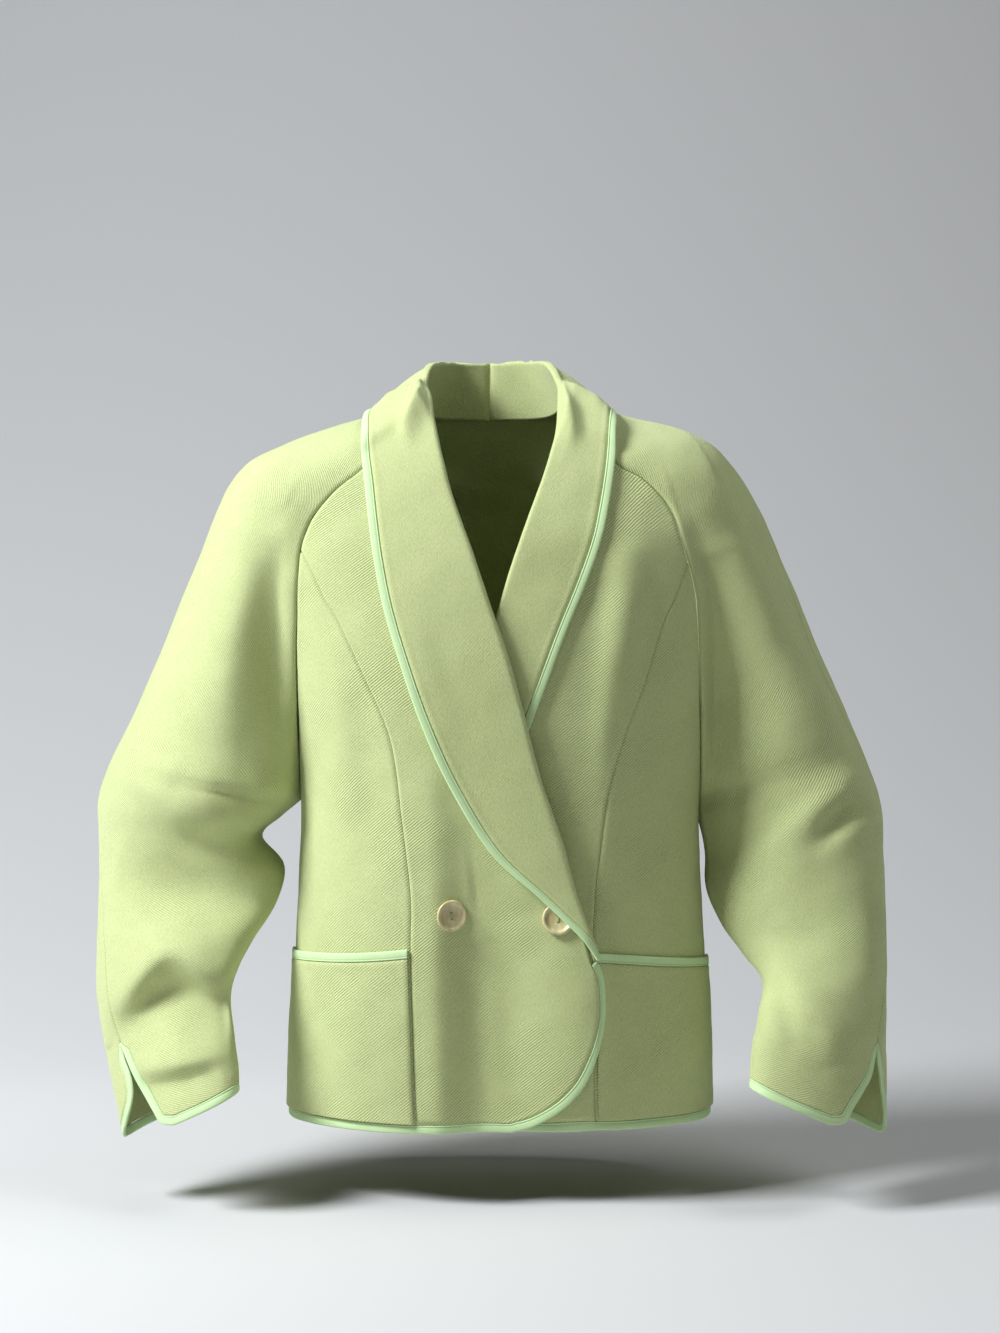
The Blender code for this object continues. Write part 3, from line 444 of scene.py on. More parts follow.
def torso_base(angle, z):
    """A point of the smooth torso: angle 0 is the centre front, +90 the wearer's left side."""
    angle, z = np.broadcast_arrays(np.asarray(angle, float), np.asarray(z, float))
    half, front, back, square = columns_at(TORSO, z / MM)
    a = np.radians(angle)
    s, c = np.sin(a), np.cos(a)
    depth = front + (back - front) * ease(-c, -SIDE_BLEND, SIDE_BLEND)
    r = (np.abs(s / half) ** square + np.abs(c / depth) ** square) ** (-1 / square)
    from_side = (math.pi / 2 - np.arcsin(np.minimum(np.abs(s), 1.0))) * half * MM
    short = np.maximum(SIDE_CORNER - from_side, 0.0)
    rise = SIDE_CORNER - np.sqrt(SIDE_CORNER ** 2 - short ** 2)
    rise = rise * ease(-z, -HEM_Z - 4 * SIDE_CORNER, -HEM_Z)
    return np.stack([r * s * MM, -r * c * MM, z + rise], axis=-1)


def torso_point(angle, z):
    """A point of the torso with its folds."""
    return folded(torso_base(angle, z), np.cos(np.radians(angle)), BODY_FIELDS)


def angle_at(x, z, back=False):
    """The angle whose torso point has this x, in front or behind."""
    x, z = np.broadcast_arrays(np.asarray(x, float), np.asarray(z, float))
    lo = np.full(x.shape, 90.0 if back else 0.0)
    hi = lo + 90.0
    for _ in range(HALVINGS):
        mid = 0.5 * (lo + hi)
        inside = torso_base(mid, z)[..., 0] < np.abs(x)
        up = inside != back
        lo, hi = np.where(up, mid, lo), np.where(up, hi, mid)
    return np.where(x >= 0, 1.0, -1.0) * 0.5 * (lo + hi)


torso = Surface(torso_point)


def under_point(angle, z):
    """The torso where the left front is: it dips under the right front."""
    base = torso.point(angle, z)
    dip = LAYER * (1 - ease(base[..., 0], *LAP_X)) * (1 - ease(z, *LAP_Z))
    return torso.at(angle, z, -dip)


under = Surface(under_point)
fronts = {"right": torso, "left": under}
SIDES = {"right": 1, "left": -1}        # the right front's open edge has the larger angle


def on_torso(rows, back=False):
    """Rows of x, z in millimetres as rows of angle, height."""
    rows = np.array(rows, float)
    x, z = rows.T * MM
    return np.stack([angle_at(x, z, back), z], axis=-1)


class Sleeve(Surface):
    """Parameters: share of the ring from front to back, and row number."""

    STEP = (0.004, 0.03)        # of both parameters, for its tangents
    FULL_BULGE = 60             # millimetres, front and back together, of a fully round ring
    BEYOND = 0.05               # rows that its ends are continued from

    def __init__(self, table, raglan, flip):
        super().__init__(self.folded_point, flip, self.STEP)
        self.rows = np.array(table, float)
        self.last = len(table) - 1
        self.open_rows = len(raglan) - 1
        self.raglan = raglan

    def seam_point(self, k, back):
        z, x = curve(self.raglan, np.clip(k, 0, self.open_rows)).T * MM
        return torso.point(angle_at(x, z, back), z)

    def ring_start(self, k, back):
        """Where the ring starts: on the raglan seam, or at the underarm seam."""
        first = self.open_rows
        x, z = np.array(self.raglan[-1][::-1]) * MM
        under_arm = torso.point(angle_at(x, z), z) / MM
        inner = curve(np.vstack([under_arm, self.rows[first + 1:, 3:6]]), k - first) * MM
        return np.where((k < first)[..., None], self.seam_point(k, back), inner)

    def ring_point(self, t, k):
        t, k = np.broadcast_arrays(np.asarray(t, float), np.asarray(k, float))
        shape = t.shape
        levels, place = np.unique(k.ravel(), return_inverse=True)
        inside = np.clip(levels, 0.0, self.last)
        row = curve(self.rows, inside)[place].reshape(shape + (-1,))
        starts = [self.ring_start(inside, back)[place].reshape(shape + (3,))
                  for back in (False, True)]
        k_in = np.clip(k, 0.0, self.last)
        outer = row[..., :3] * MM
        back = t > 0.5
        f = (math.pi * np.where(back, 2 * (1 - t), 2 * t))[..., None]
        start = np.where(back[..., None], starts[1], starts[0])
        bulge = np.where(back, row[..., 7], -row[..., 6]) * MM
        full = np.minimum((row[..., 6] + row[..., 7]) / self.FULL_BULGE, 1.0)[..., None]
        share = full * (1 - np.cos(f)) / 2 + (1 - full) * f / math.pi
        half = start + (outer - start) * share
        half[..., 1] += bulge * np.sin(f[..., 0])
        quarter = start + (outer - start) * np.sin(f / 2)
        quarter[..., 1] = (outer + (start - outer) * np.cos(f / 2))[..., 1]
        is_open = np.where(k_in < self.open_rows, np.clip(row[..., 8], 0.0, 1.0), 0.0)[..., None]
        point = is_open * quarter + (1 - is_open) * half
        over = (k - k_in)[..., None]
        if np.any(over):
            inner = self.ring_point(t, k_in - self.BEYOND * np.sign(over[..., 0]))
            point = point + (point - inner) * np.abs(over) / self.BEYOND
        return point

    def folded_point(self, t, k):
        """A point of the sleeve with its folds."""
        turn = np.sin(2 * math.pi * np.asarray(t, float))
        return folded(self.ring_point(t, k), turn, SLEEVE_FIELDS)

    def seam(self, k):
        return curve(self.rows, np.clip(k, 0, self.last))[..., 9]


sleeves = {
    "right": Sleeve(SLEEVE_RIGHT, RAGLAN_RIGHT, 1.0),
    "left": Sleeve(SLEEVE_LEFT, RAGLAN_LEFT, -1.0),
}


# --- materials --------------------------------------------------------------------

# Colours
# Wool tones that follow the weave's relief: the cloth's own mottle, with painted shade in its
# hollows and a painted highlight on its raised nap.
WOOL_HOLLOW_SHADE = (0.37, 0.43, 0.16, 1)
WOOL_NAP_AND_HIGHLIGHT = (0.66, 0.72, 0.37, 1)
WOOL_DRIFT = (0.66, 0.68, 0.36, 1)
WOOL_SHEEN = (0.93, 1.0, 0.70, 1)
# Binding tones that follow its weave's relief: painted shade in the hollows and a painted highlight
# on the raised threads.
TRIM_HOLLOW_SHADE = (0.50, 0.70, 0.34, 1)
TRIM_RAISED_HIGHLIGHT = (0.68, 0.88, 0.50, 1)
TRIM_WORN = (0.56, 0.76, 0.36, 1)
# Painted shade for the groove of the binding's seam.
TRIM_DITCH_SHADE = (0.33, 0.46, 0.20, 1)
HORN_TONES = ((0.50, 0.42, 0.20, 1), (0.72, 0.66, 0.36, 1))
THREAD_TONES = ((0.30, 0.40, 0.14, 1), (0.50, 0.60, 0.26, 1))
# Sizes in metres, angles in degrees from the grain
PATCH_SIZE, DRIFT_SIZE = 0.055, 0.014       # where the ribs show, and where the tone drifts
RIB_PITCH, RIB_ANGLE = 0.0021, 52
NAP_SIZE, NAP_ANGLE = 0.0016, 38
FUZZ_SIZE, LINT_SIZE = 0.0009, 0.00045
WOOL_RELIEF = 0.0006
TRIM_PITCH, TRIM_ANGLE = 0.0008, 45
TRIM_FUZZ_SIZE, TRIM_DRIFT_SIZE = 0.0012, 0.016
TRIM_RELIEF = 0.00015
DITCH_PLACE = 0.0064        # of the binding's seam, from its finished edge, where the painted shade is centred
DITCH_SHADE_EDGES = (0.0002, 0.0007)
CLOUD_SIZE, CLOUD_ANGLE = 0.006, 25
HORN_GRAIN, HORN_RELIEF = 0.0015, 0.00003
TWIST_PITCH, TWIST_ANGLE, TWIST_RELIEF = 0.0004, 55, 0.0001


class Nodes:
    """Short names for building a material from nodes."""

    def __init__(self, name):
        self.material = bpy.data.materials.new(name)
        self.material.use_nodes = True
        self.tree = self.material.node_tree
        self.shader = self.tree.nodes["Principled BSDF"]

    def add(self, kind, inputs=(), **settings):
        node = self.tree.nodes.new(kind)
        for key, value in settings.items():
            setattr(node, key, value)
        for key, value in dict(inputs).items():
            self.put(node.inputs[key], value)
        return node

    def put(self, socket, value):
        if isinstance(value, bpy.types.NodeSocket):
            self.tree.links.new(value, socket)
        else:
            socket.default_value = value

    def grain(self):
        """The cloth's own coordinates in metres, from its UV map."""
        return self.add("ShaderNodeUVMap", uv_map="grain").outputs["UV"]

    def place(self):
        return self.add("ShaderNodeTexCoord").outputs["Object"]

    def math(self, operation, a, b=0.0, c=0.0):
        node = self.add("ShaderNodeMath", {0: a, 1: b, 2: c}, operation=operation)
        return node.outputs[0]

    def mix(self, share, a, b):
        node = self.add("ShaderNodeMix", {0: share, 6: a, 7: b}, data_type="RGBA")
        return node.outputs[2]

    def noise(self, place, size, detail=2.0, roughness=0.5):
        """A noise whose features are about this many metres across."""
        node = self.add("ShaderNodeTexNoise", {"Vector": place, "Scale": 1 / size,
                                               "Detail": detail, "Roughness": roughness})
        return node.outputs["Fac"]

    def ribs(self, place, pitch, wobble):
        """Soft ridges across X, this many metres apart (a wave is pi/10 long at scale 1)."""
        node = self.add("ShaderNodeTexWave", {"Vector": place, "Scale": math.pi / 10 / pitch,
                                              "Distortion": wobble, "Detail": 1.0,
                                              "Detail Scale": 1.2})
        return node.outputs["Fac"]

    def turned(self, place, angle, stretch=(1.0, 1.0)):
        node = self.add("ShaderNodeMapping", {"Vector": place,
                                              "Rotation": (0, 0, math.radians(angle)),
                                              "Scale": (stretch[0], stretch[1], 1.0)})
        return node.outputs["Vector"]

    def between(self, value, low, high):
        node = self.add("ShaderNodeMapRange", {0: value, 1: low, 2: high})
        node.clamp = True
        return node.outputs[0]

    def bump(self, height, depth, strength):
        node = self.add("ShaderNodeBump", {"Height": height, "Distance": depth,
                                           "Strength": strength})
        self.put(self.shader.inputs["Normal"], node.outputs["Normal"])

    def set(self, **values):
        for key, value in values.items():
            self.put(self.shader.inputs[key.replace("_", " ")], value)


def make_wool(name, rib_depth):
    """Napped wool twill; rib_depth says how far its diagonal ribs show through the nap."""
    n = Nodes(name)
    grain = n.grain()
    place = n.place()
    patches = n.noise(place, PATCH_SIZE, 3.0, 0.55)
    drift = n.noise(place, DRIFT_SIZE)
    ribs = n.ribs(n.turned(grain, RIB_ANGLE), RIB_PITCH, 1.6)
    nap = n.noise(n.turned(grain, NAP_ANGLE, (1.0, 0.5)), NAP_SIZE, 3.0, 0.6)
    fuzz = n.noise(place, FUZZ_SIZE, 3.0, 0.7)
    lint = n.noise(place, LINT_SIZE, 2.0, 0.6)
    show = n.math("MULTIPLY_ADD", n.between(patches, 0.40, 0.62), rib_depth, 0.25 * rib_depth)
    height = n.math("MULTIPLY", n.math("SUBTRACT", ribs, 0.5), show)
    for layer, share in ((nap, 0.8), (fuzz, 0.7), (lint, 0.35)):
        height = n.math("MULTIPLY_ADD", layer, share, height)
    # Over the weave's own mottle: painted shade in the hollows of the ribs and nap, and a painted
    # highlight on the raised fuzz and lint.
    tone = n.mix(n.between(height, 0.45, 1.4), WOOL_HOLLOW_SHADE, WOOL_NAP_AND_HIGHLIGHT)
    tone = n.mix(n.math("MULTIPLY", n.between(drift, 0.35, 0.7), 0.14), tone, WOOL_DRIFT)
    n.set(Base_Color=tone, Roughness=0.95, Sheen_Weight=0.35, Sheen_Roughness=0.5,
          Sheen_Tint=WOOL_SHEEN, Specular_IOR_Level=0.12)
    n.bump(height, WOOL_RELIEF, 0.7)
    return n.material


def make_trim():
    """Plainly woven bias strip, with painted shade in the groove of the seam that holds it."""
    n = Nodes("binding")
    grain = n.grain()
    weave = [n.ribs(n.turned(grain, angle), TRIM_PITCH, 0.5) for angle in (TRIM_ANGLE, -TRIM_ANGLE)]
    fuzz = n.noise(grain, TRIM_FUZZ_SIZE)
    drift = n.noise(grain, TRIM_DRIFT_SIZE)
    height = n.math("MULTIPLY_ADD", fuzz, 0.8, n.math("MULTIPLY", *weave))
    across = n.add("ShaderNodeSeparateXYZ", {0: grain}).outputs["X"]
    # Painted shade along the groove of the binding's seam: on the seam's line the tone goes 40% of
    # the way to the dark groove colour.
    from_seam = n.math("ABSOLUTE", n.math("SUBTRACT", across, DITCH_PLACE))
    beside = n.math("MULTIPLY_ADD", n.between(from_seam, *DITCH_SHADE_EDGES), 0.4, 0.6)
    # Painted shade in the weave's hollows and a painted highlight on its raised threads.
    tone = n.mix(n.between(height, 0.2, 1.1), TRIM_HOLLOW_SHADE, TRIM_RAISED_HIGHLIGHT)
    tone = n.mix(n.math("MULTIPLY", n.between(drift, 0.3, 0.7), 0.3), tone, TRIM_WORN)
    tone = n.mix(beside, TRIM_DITCH_SHADE, tone)
    n.set(Base_Color=tone, Roughness=0.72, Sheen_Weight=0.15, Specular_IOR_Level=0.3)
    n.bump(height, TRIM_RELIEF, 0.6)
    return n.material


def make_horn():
    """Clouded, satin button stock."""
    n = Nodes("button")
    place = n.place()
    cloud = n.noise(n.turned(place, CLOUD_ANGLE, (1.0, 0.35)), CLOUD_SIZE, 3.0, 0.6)
    tone = n.mix(n.between(cloud, 0.35, 0.65), *HORN_TONES)
    n.set(Base_Color=tone, Roughness=0.32, Coat_Weight=0.25, Coat_Roughness=0.2,
          Subsurface_Weight=0.08, Subsurface_Scale=0.002)
    n.bump(n.noise(place, HORN_GRAIN), HORN_RELIEF, 0.5)
    return n.material


def make_thread():
    n = Nodes("thread")
    twist = n.ribs(n.turned(n.place(), TWIST_ANGLE), TWIST_PITCH, 0.3)
    n.set(Base_Color=n.mix(twist, *THREAD_TONES), Roughness=0.8)
    n.bump(twist, TWIST_RELIEF, 0.6)
    return n.material


wool = make_wool("wool", rib_depth=0.75)
felted = make_wool("felted_wool", rib_depth=0.16)
trim = make_trim()
horn = make_horn()
thread = make_thread()


# --- making pieces ----------------------------------------------------------------

pieces = {}
skins = {}          # each cloth piece's outer side, for what lies on it


def add_object(name, data):
    """A new object in the scene, of a mesh, a light or a camera."""
    made = bpy.data.objects.new(name, data)
    bpy.context.scene.collection.objects.link(made)
    return made


def grid_normals(grid, flip):
    normals = np.cross(np.gradient(grid, axis=1), np.gradient(grid, axis=0))
    return flip * unit(normals)


def add_shell(name, outer, inner, grain, material):
    """A closed shell between two grids of points; grain is its UV map in metres."""
    rows, columns = outer.shape[:2]
    count = rows * columns
    number = np.arange(count).reshape(rows, columns)
    a, b, c, d = number[:-1, :-1], number[:-1, 1:], number[1:, 1:], number[1:, :-1]
    front = np.stack([a, b, c, d], axis=-1).reshape(-1, 4)
    rim = np.concatenate([number[0, :], number[1:, -1], number[-1, -2::-1], number[-2:0:-1, 0]])
    after = np.roll(rim, -1)
    wall = np.stack([after, rim, rim + count, after + count], axis=-1)
    points = np.vstack([outer.reshape(-1, 3), inner.reshape(-1, 3)])
    a, b, c = (points[front[:, k]] for k in range(3))
    if (np.cross(b - a, c - b) * (a - points[front[:, 0] + count])).sum() < 0:
        front, wall = front[:, ::-1], wall[:, ::-1]
    faces = np.vstack([front, front[:, ::-1] + count, wall])
    mesh = bpy.data.meshes.new(name)
    mesh.vertices.add(len(points))
    mesh.vertices.foreach_set("co", points.ravel())
    mesh.loops.add(faces.size)
    mesh.loops.foreach_set("vertex_index", faces.ravel())
    mesh.polygons.add(len(faces))
    mesh.polygons.foreach_set("loop_start", np.arange(0, faces.size, 4))
    mesh.update()
    uv = mesh.uv_layers.new(name="grain")
    uv.data.foreach_set("uv", np.vstack([grain.reshape(-1, 2)] * 2)[faces.ravel()].ravel())
    mesh.validate()
    mesh.shade_smooth()
    mesh.materials.append(material)
    pieces[name] = add_object(name, mesh)
    skins[name] = BVHTree.FromPolygons(outer.reshape(-1, 3).tolist(), front.tolist())


def from_edges(grid):
    """Distances of each point of a grid from its first and last column, and its rows."""
    across = np.linalg.norm(np.diff(grid, axis=1), axis=2).cumsum(axis=1)
    along = np.linalg.norm(np.diff(grid, axis=0), axis=2).cumsum(axis=0)
    left = np.pad(across, ((0, 0), (1, 0)))
    top = np.pad(along, ((1, 0), (0, 0)))
    return left, left[:, -1:] - left, top, top[-1:] - top


# The cloth rolls down into a seam and stands up a little beside it.
SEAM_PROFILE = (
    # height, distance of its middle from the seam, spread
    (-0.75, 0.0, 1.3), (0.28, 4.2, 2.4),
)
DEEPEST = 0.85 * MM         # where two seams meet, the cloth goes down no further
INSIDE_SHARE = 0.3          # of a seam's dip, seen on the inside
WANDER = 0.42 * MM


def seam_profile(distance):
    d = distance / MM
    return MM * sum(height * np.exp(-((d - middle) / spread) ** 2)
                    for height, middle, spread in SEAM_PROFILE)


def wander(points):
    """Small, slow unevenness of heavy cloth, from waves of unlike lengths in millimetres."""
    x, y, z = np.moveaxis(points / MM, -1, 0)
    waves = (np.sin(x / 23 + 1.3 * np.sin(z / 41)) * np.sin(z / 31 + y / 37)
             + 0.6 * np.sin(x / 11 - z / 17 + 0.7) * np.sin(z / 13 + y / 19 + 2.1)
             + 0.35 * np.sin(x / 6.1 + z / 7.3) * np.sin(z / 5.7 - y / 9.1))
    return WANDER * waves


def add_cloth(name, base, normals, height, dip, grain, material):
    """A cloth piece whose outer side is this high above its base, and dips at its seams."""
    outer = base + (height + dip)[..., None] * normals
    inner = base + (height - CLOTH - INSIDE_SHARE * dip)[..., None] * normals
    add_shell(name, outer, inner, grain, material)


def cloth_panel(name, surface, uv, grain, lift=0.0, seams="lr"):
    """A cloth piece below the surface; seams says which edges are sewn (left, right, top)."""
    u, v = np.moveaxis(np.array(uv), -1, 0)
    base, normals = surface.point(u, v), surface.normal(u, v)
    height = lift + wander(base)
    distances = dict(zip("lrtb", from_edges(base)))
    dip = sum(seam_profile(distances[edge]) for edge in seams)
    dip = np.maximum(dip, -DEEPEST)
    add_cloth(name, base, normals, height, dip, grain(u, v), wool)


EDGE_PROFILE = np.array((
    # distance from the finished edge, height on the outer side, height on the inner side
    (0.0, 0.0, 0.0), (0.12, 0.55, 0.55), (0.4, 0.95, 0.95), (0.9, 1.28, 1.28),
    (1.6, 1.42, 1.4), (3.0, 1.5, 1.4), (4.8, 1.42, 1.4), (6.0, 1.22, 1.4),
    (6.45, 0.98, 1.4), (6.85, 1.25, 1.35), (7.3, 1.42, 1.2), (7.75, 1.15, 1.0),
    (8.0, 0.7, 0.6),
))
EDGE_SHARES = EDGE_PROFILE[:, 0] / EDGE_PROFILE[-1, 0]


def edge_strip(name, base, normals):
    """A binding on a grid whose columns follow EDGE_PROFILE."""
    profile = EDGE_PROFILE * MM
    outer = base + profile[:, 1, None] * normals
    inner = base - profile[:, 2, None] * normals
    _, _, top, _ = from_edges(base)
    add_shell(name, outer, inner, paired(profile[:, 0], top), trim)


def strip_on(name, surface, uv, lift):
    """A binding on a grid of the surface, its middle this far above the cloth's."""
    u, v = np.moveaxis(uv, -1, 0)
    base, normals = surface.point(u, v), surface.normal(u, v)
    height = lift + wander(base) - CLOTH / 2
    edge_strip(name, base + height[..., None] * normals, normals)


def binding(name, surface, edge, side, hem=None, width=BINDING_WIDTH):
    """A strip along a finished edge of the surface; hem says which rows lie on the hem."""
    edge = np.array(edge, float)
    inner_edge = surface.inset(edge, width, side)
    if hem is not None:
        inner_edge[hem] = edge[hem] * (1, 0) + (0, HEM_Z + BINDING_WIDTH)
    strip_on(name, surface, between(edge, inner_edge, EDGE_SHARES), 0.0)


# --- torso ------------------------------------------------------------------------

UNDER_LEG = 6.0 * MM        # the collar's seam to the front lies this far from its roll
INNER_HEM = HEM_Z + BINDING_WIDTH + SEAM
SIDE_STEPS = 8
SIDE_GAP = 0.06             # degrees between a hem binding's end and the side seam
POINT_SHARE = 0.4           # a side front's pointed top is cut off this far down its first row
FINE = 6                    # rows of a fine grid to each row of a table
NEAR_SEAM = (0, 0.5, 1.1, 1.9, 3.0, 4.5, 6.5)       # lines of points beside a seam
ACROSS = {
    # lines of points between those beside the seams, and the piece's width in metres
    "front": (44, 0.14),
    "side_front": (40, 0.12),
    "back": (110, 0.40),
    "sleeve": (44, 0.15),
    "pocket": (40, 0.11),
    "pocket_down": (40, 0.14),
}
HEM_COLUMNS = 60
BACK_HEM_COLUMNS = 320
ARC_COLUMNS = 1081
GRAIN_Z = -0.400            # height at which the cloth's width is measured round the torso
PRINCESS_ROW = {"right": 6, "left": 7}      # the raglan row where the princess seam starts
RAGLAN = {"right": RAGLAN_RIGHT, "left": RAGLAN_LEFT}
PRINCESS = {"right": PRINCESS_RIGHT, "left": PRINCESS_LEFT}
LAPEL = {"right": LAPEL_RIGHT, "left": LAPEL_LEFT}
NECK = {"right": NECK_RIGHT, "left": NECK_LEFT}
FRONT_EDGE = {"right": FRONT_EDGE_RIGHT, "left": FRONT_EDGE_LEFT}


def shares(count, width):
    """Shares across a piece of this width, closer together beside both edges."""
    near = np.array(NEAR_SEAM) * MM / width
    middle = np.linspace(near[-1], 1 - near[-1], count)
    return np.concatenate([near[:-1], middle, 1 - near[-2::-1]])


def between(edge_a, edge_b, across):
    """A grid of u, v between two edges that have the same number of rows."""
    f = across[:, None]
    return edge_a[:, None] * (1 - f) + edge_b[:, None] * f


def raglan_edge(which, first, last, back=False):
    """The raglan seam from one row of its table to another."""
    at = first + steps(last - first, FINE)
    edge = on_torso(curve(RAGLAN[which], at)[:, ::-1], back)
    return edge + (360.0 if back and which == "right" else 0.0, 0)


def princess_edge(which):
    """The princess seam, from the raglan seam to the hem binding."""
    floor = INNER_HEM / MM
    rows = [(x, z) for z, x in PRINCESS[which] if z > floor]
    rows.append((PRINCESS[which][-1][1], floor))
    count = len(RAGLAN[which]) - 1 - PRINCESS_ROW[which] + SIDE_STEPS
    return on_torso(even_curve(rows, count * FINE + 1))


def side_edge(which, back=False):
    """The side seam, from under the arm to the hem binding."""
    angle = 90.0 if which == "left" else 270.0 if back else -90.0
    z = np.linspace(RAGLAN[which][-1][0] * MM, INNER_HEM, SIDE_STEPS * FINE + 1)
    return paired(angle, z)


def refine(nodes):
    return curve(nodes, steps(len(nodes) - 1, FINE))


def arc_table():
    """Angles round the torso, and the length of cloth from the centre front to each."""
    angles = np.linspace(-180, 360, ARC_COLUMNS)
    length = lengths_along(torso_point(angles, GRAIN_Z))
    return angles, length - np.interp(0, angles, length)


ARC = arc_table()


def body_grain(u, v):
    """Cloth coordinates of the torso in metres: round it, and up."""
    return paired(np.interp(u, *ARC), v)


def build_front(which):
    surface, side = fronts[which], SIDES[which]
    first = PRINCESS_ROW[which]
    princess = princess_edge(which)
    outer_side = np.vstack([raglan_edge(which, 0, first)[:-1], princess])
    outer_side = surface.inset(outer_side, SEAM / 2, side)
    roll = on_torso([row[:2] for row in LAPEL[which]])
    outline = on_torso(FRONT_EDGE[which])
    leg = surface.inset(roll, UNDER_LEG, -side)
    free = surface.inset(outline, BINDING_WIDTH + SEAM, -side)
    link = between(leg[-1:], free[:1], steps(1, FINE))[0]
    open_side = np.vstack([refine(leg)[:-1], link[:-1], refine(free)])
    open_side[0, 1] = outer_side[0, 1]
    open_side[-1, 1] = INNER_HEM
    uv = between(outer_side, open_side, shares(*ACROSS["front"]))
    cloth_panel(f"front_{which}", surface, uv, body_grain)
    stop = (SIDE_GAP - 90.0) * side
    hem = np.linspace(outline[-1, 0], princess[-1, 0], HEM_COLUMNS)[1:]
    hem = np.concatenate([hem, np.linspace(hem[-1], stop, HEM_COLUMNS * 3 // 2)[1:]])
    edge = np.vstack([refine(outline), paired(hem, HEM_Z)])
    hem_rows = slice(len(edge) - len(hem) - 1, len(edge))
    binding(f"binding_front_{which}", surface, edge, -side, hem=hem_rows)


def build_side_front(which):
    """Between the sleeve and side seam and the princess seam."""
    surface, side = fronts[which], SIDES[which]
    last = len(RAGLAN[which]) - 1
    upper = raglan_edge(which, PRINCESS_ROW[which], last)
    outer_side = np.vstack([upper[:-1], side_edge(which)])
    inner_side = princess_edge(which)
    for edge in (outer_side, inner_side):
        edge[0] += POINT_SHARE * (edge[1] - edge[0])
    outer_side = surface.inset(outer_side, SEAM / 2, side)
    inner_side = surface.inset(inner_side, SEAM / 2, -side)
    uv = between(outer_side, inner_side, shares(*ACROSS["side_front"]))
    cloth_panel(f"side_front_{which}", surface, uv, body_grain)


def build_back():
    """One piece from side seam to side seam, up to the neck between the sleeves."""
    edges = []
    for which, side in (("left", 1), ("right", -1)):
        last = len(RAGLAN[which]) - 1
        edge = np.vstack([raglan_edge(which, 0, last, True)[:-1], side_edge(which, True)])
        edges.append(torso.inset(edge, SEAM / 2, side))
    cloth_panel("back", torso, between(*edges, shares(*ACROSS["back"])), body_grain)
    edge = paired(np.linspace(90 + SIDE_GAP, 270 - SIDE_GAP, BACK_HEM_COLUMNS), HEM_Z)
    binding("binding_hem_back", torso, edge, 1, hem=slice(0, len(edge)))


# --- sleeves ----------------------------------------------------------------------

SLIT_ROWS = 1.9             # the slit's top is this many rows above the cuff
# Edges of the slit's flaps, from its top to the hem: share of the ring beside the
# over-arm seam, and rows above the cuff.
FLAPS = {
    ("right", "front"): ((0.0, 1.9), (-0.013, 1.5), (-0.026, 1.15), (-0.042, 0.8), (-0.060, 0.43),
                         (-0.076, 0.15), (-0.11, 0.0)),
    ("right", "back"): ((0.0, 1.9), (-0.004, 1.6), (-0.012, 1.3), (-0.012, 1.02), (-0.002, 0.76),
                        (0.020, 0.52), (0.052, 0.30), (0.092, 0.13), (0.140, 0.03), (0.19, 0.0)),
    ("left", "front"): ((0.0, 1.9), (-0.006, 1.55), (-0.018, 1.2), (-0.040, 0.85), (-0.062, 0.5),
                        (-0.082, 0.15), (-0.115, 0.0)),
    ("left", "back"): ((0.0, 1.9), (0.001, 1.7), (0.008, 1.45), (0.030, 1.0), (0.046, 0.74),
                       (0.066, 0.50), (0.092, 0.29), (0.125, 0.12), (0.165, 0.03), (0.21, 0.0)),
}
SLIT_STEPS = 8
TAPER = 14 * MM             # the bindings widen over this length below the slit's top
TAPER_START = 0.25          # share of their width at the top
BELOW_SLIT = 0.02           # rows from the seam's last row to the slit's top
NECK_EASE = 2.8 * MM        # the seams gape this much under the collar, at the neck
EASE_ROWS = (1.0, 2.0)      # between which they close
GIRTH_ROWS, GIRTH_COLUMNS = 200, 49     # points at which a sleeve's cloth is measured


def sleeve_grain(sleeve):
    """Cloth coordinates of a sleeve in metres: across it from the over-arm seam, and up."""
    levels = np.linspace(0, sleeve.last, GIRTH_ROWS)
    length = lengths_along(curve(sleeve.rows, levels)[:, :3] * MM)
    rings = sleeve.point(np.linspace(0, 1, GIRTH_COLUMNS), levels[:, None])
    girth = np.linalg.norm(np.diff(rings, axis=1), axis=2).sum(axis=1)

    def grain(u, v):
        across = (u - sleeve.seam(v)) * np.interp(v, levels, girth)
        return paired(across, -np.interp(v, levels, length))
    return grain


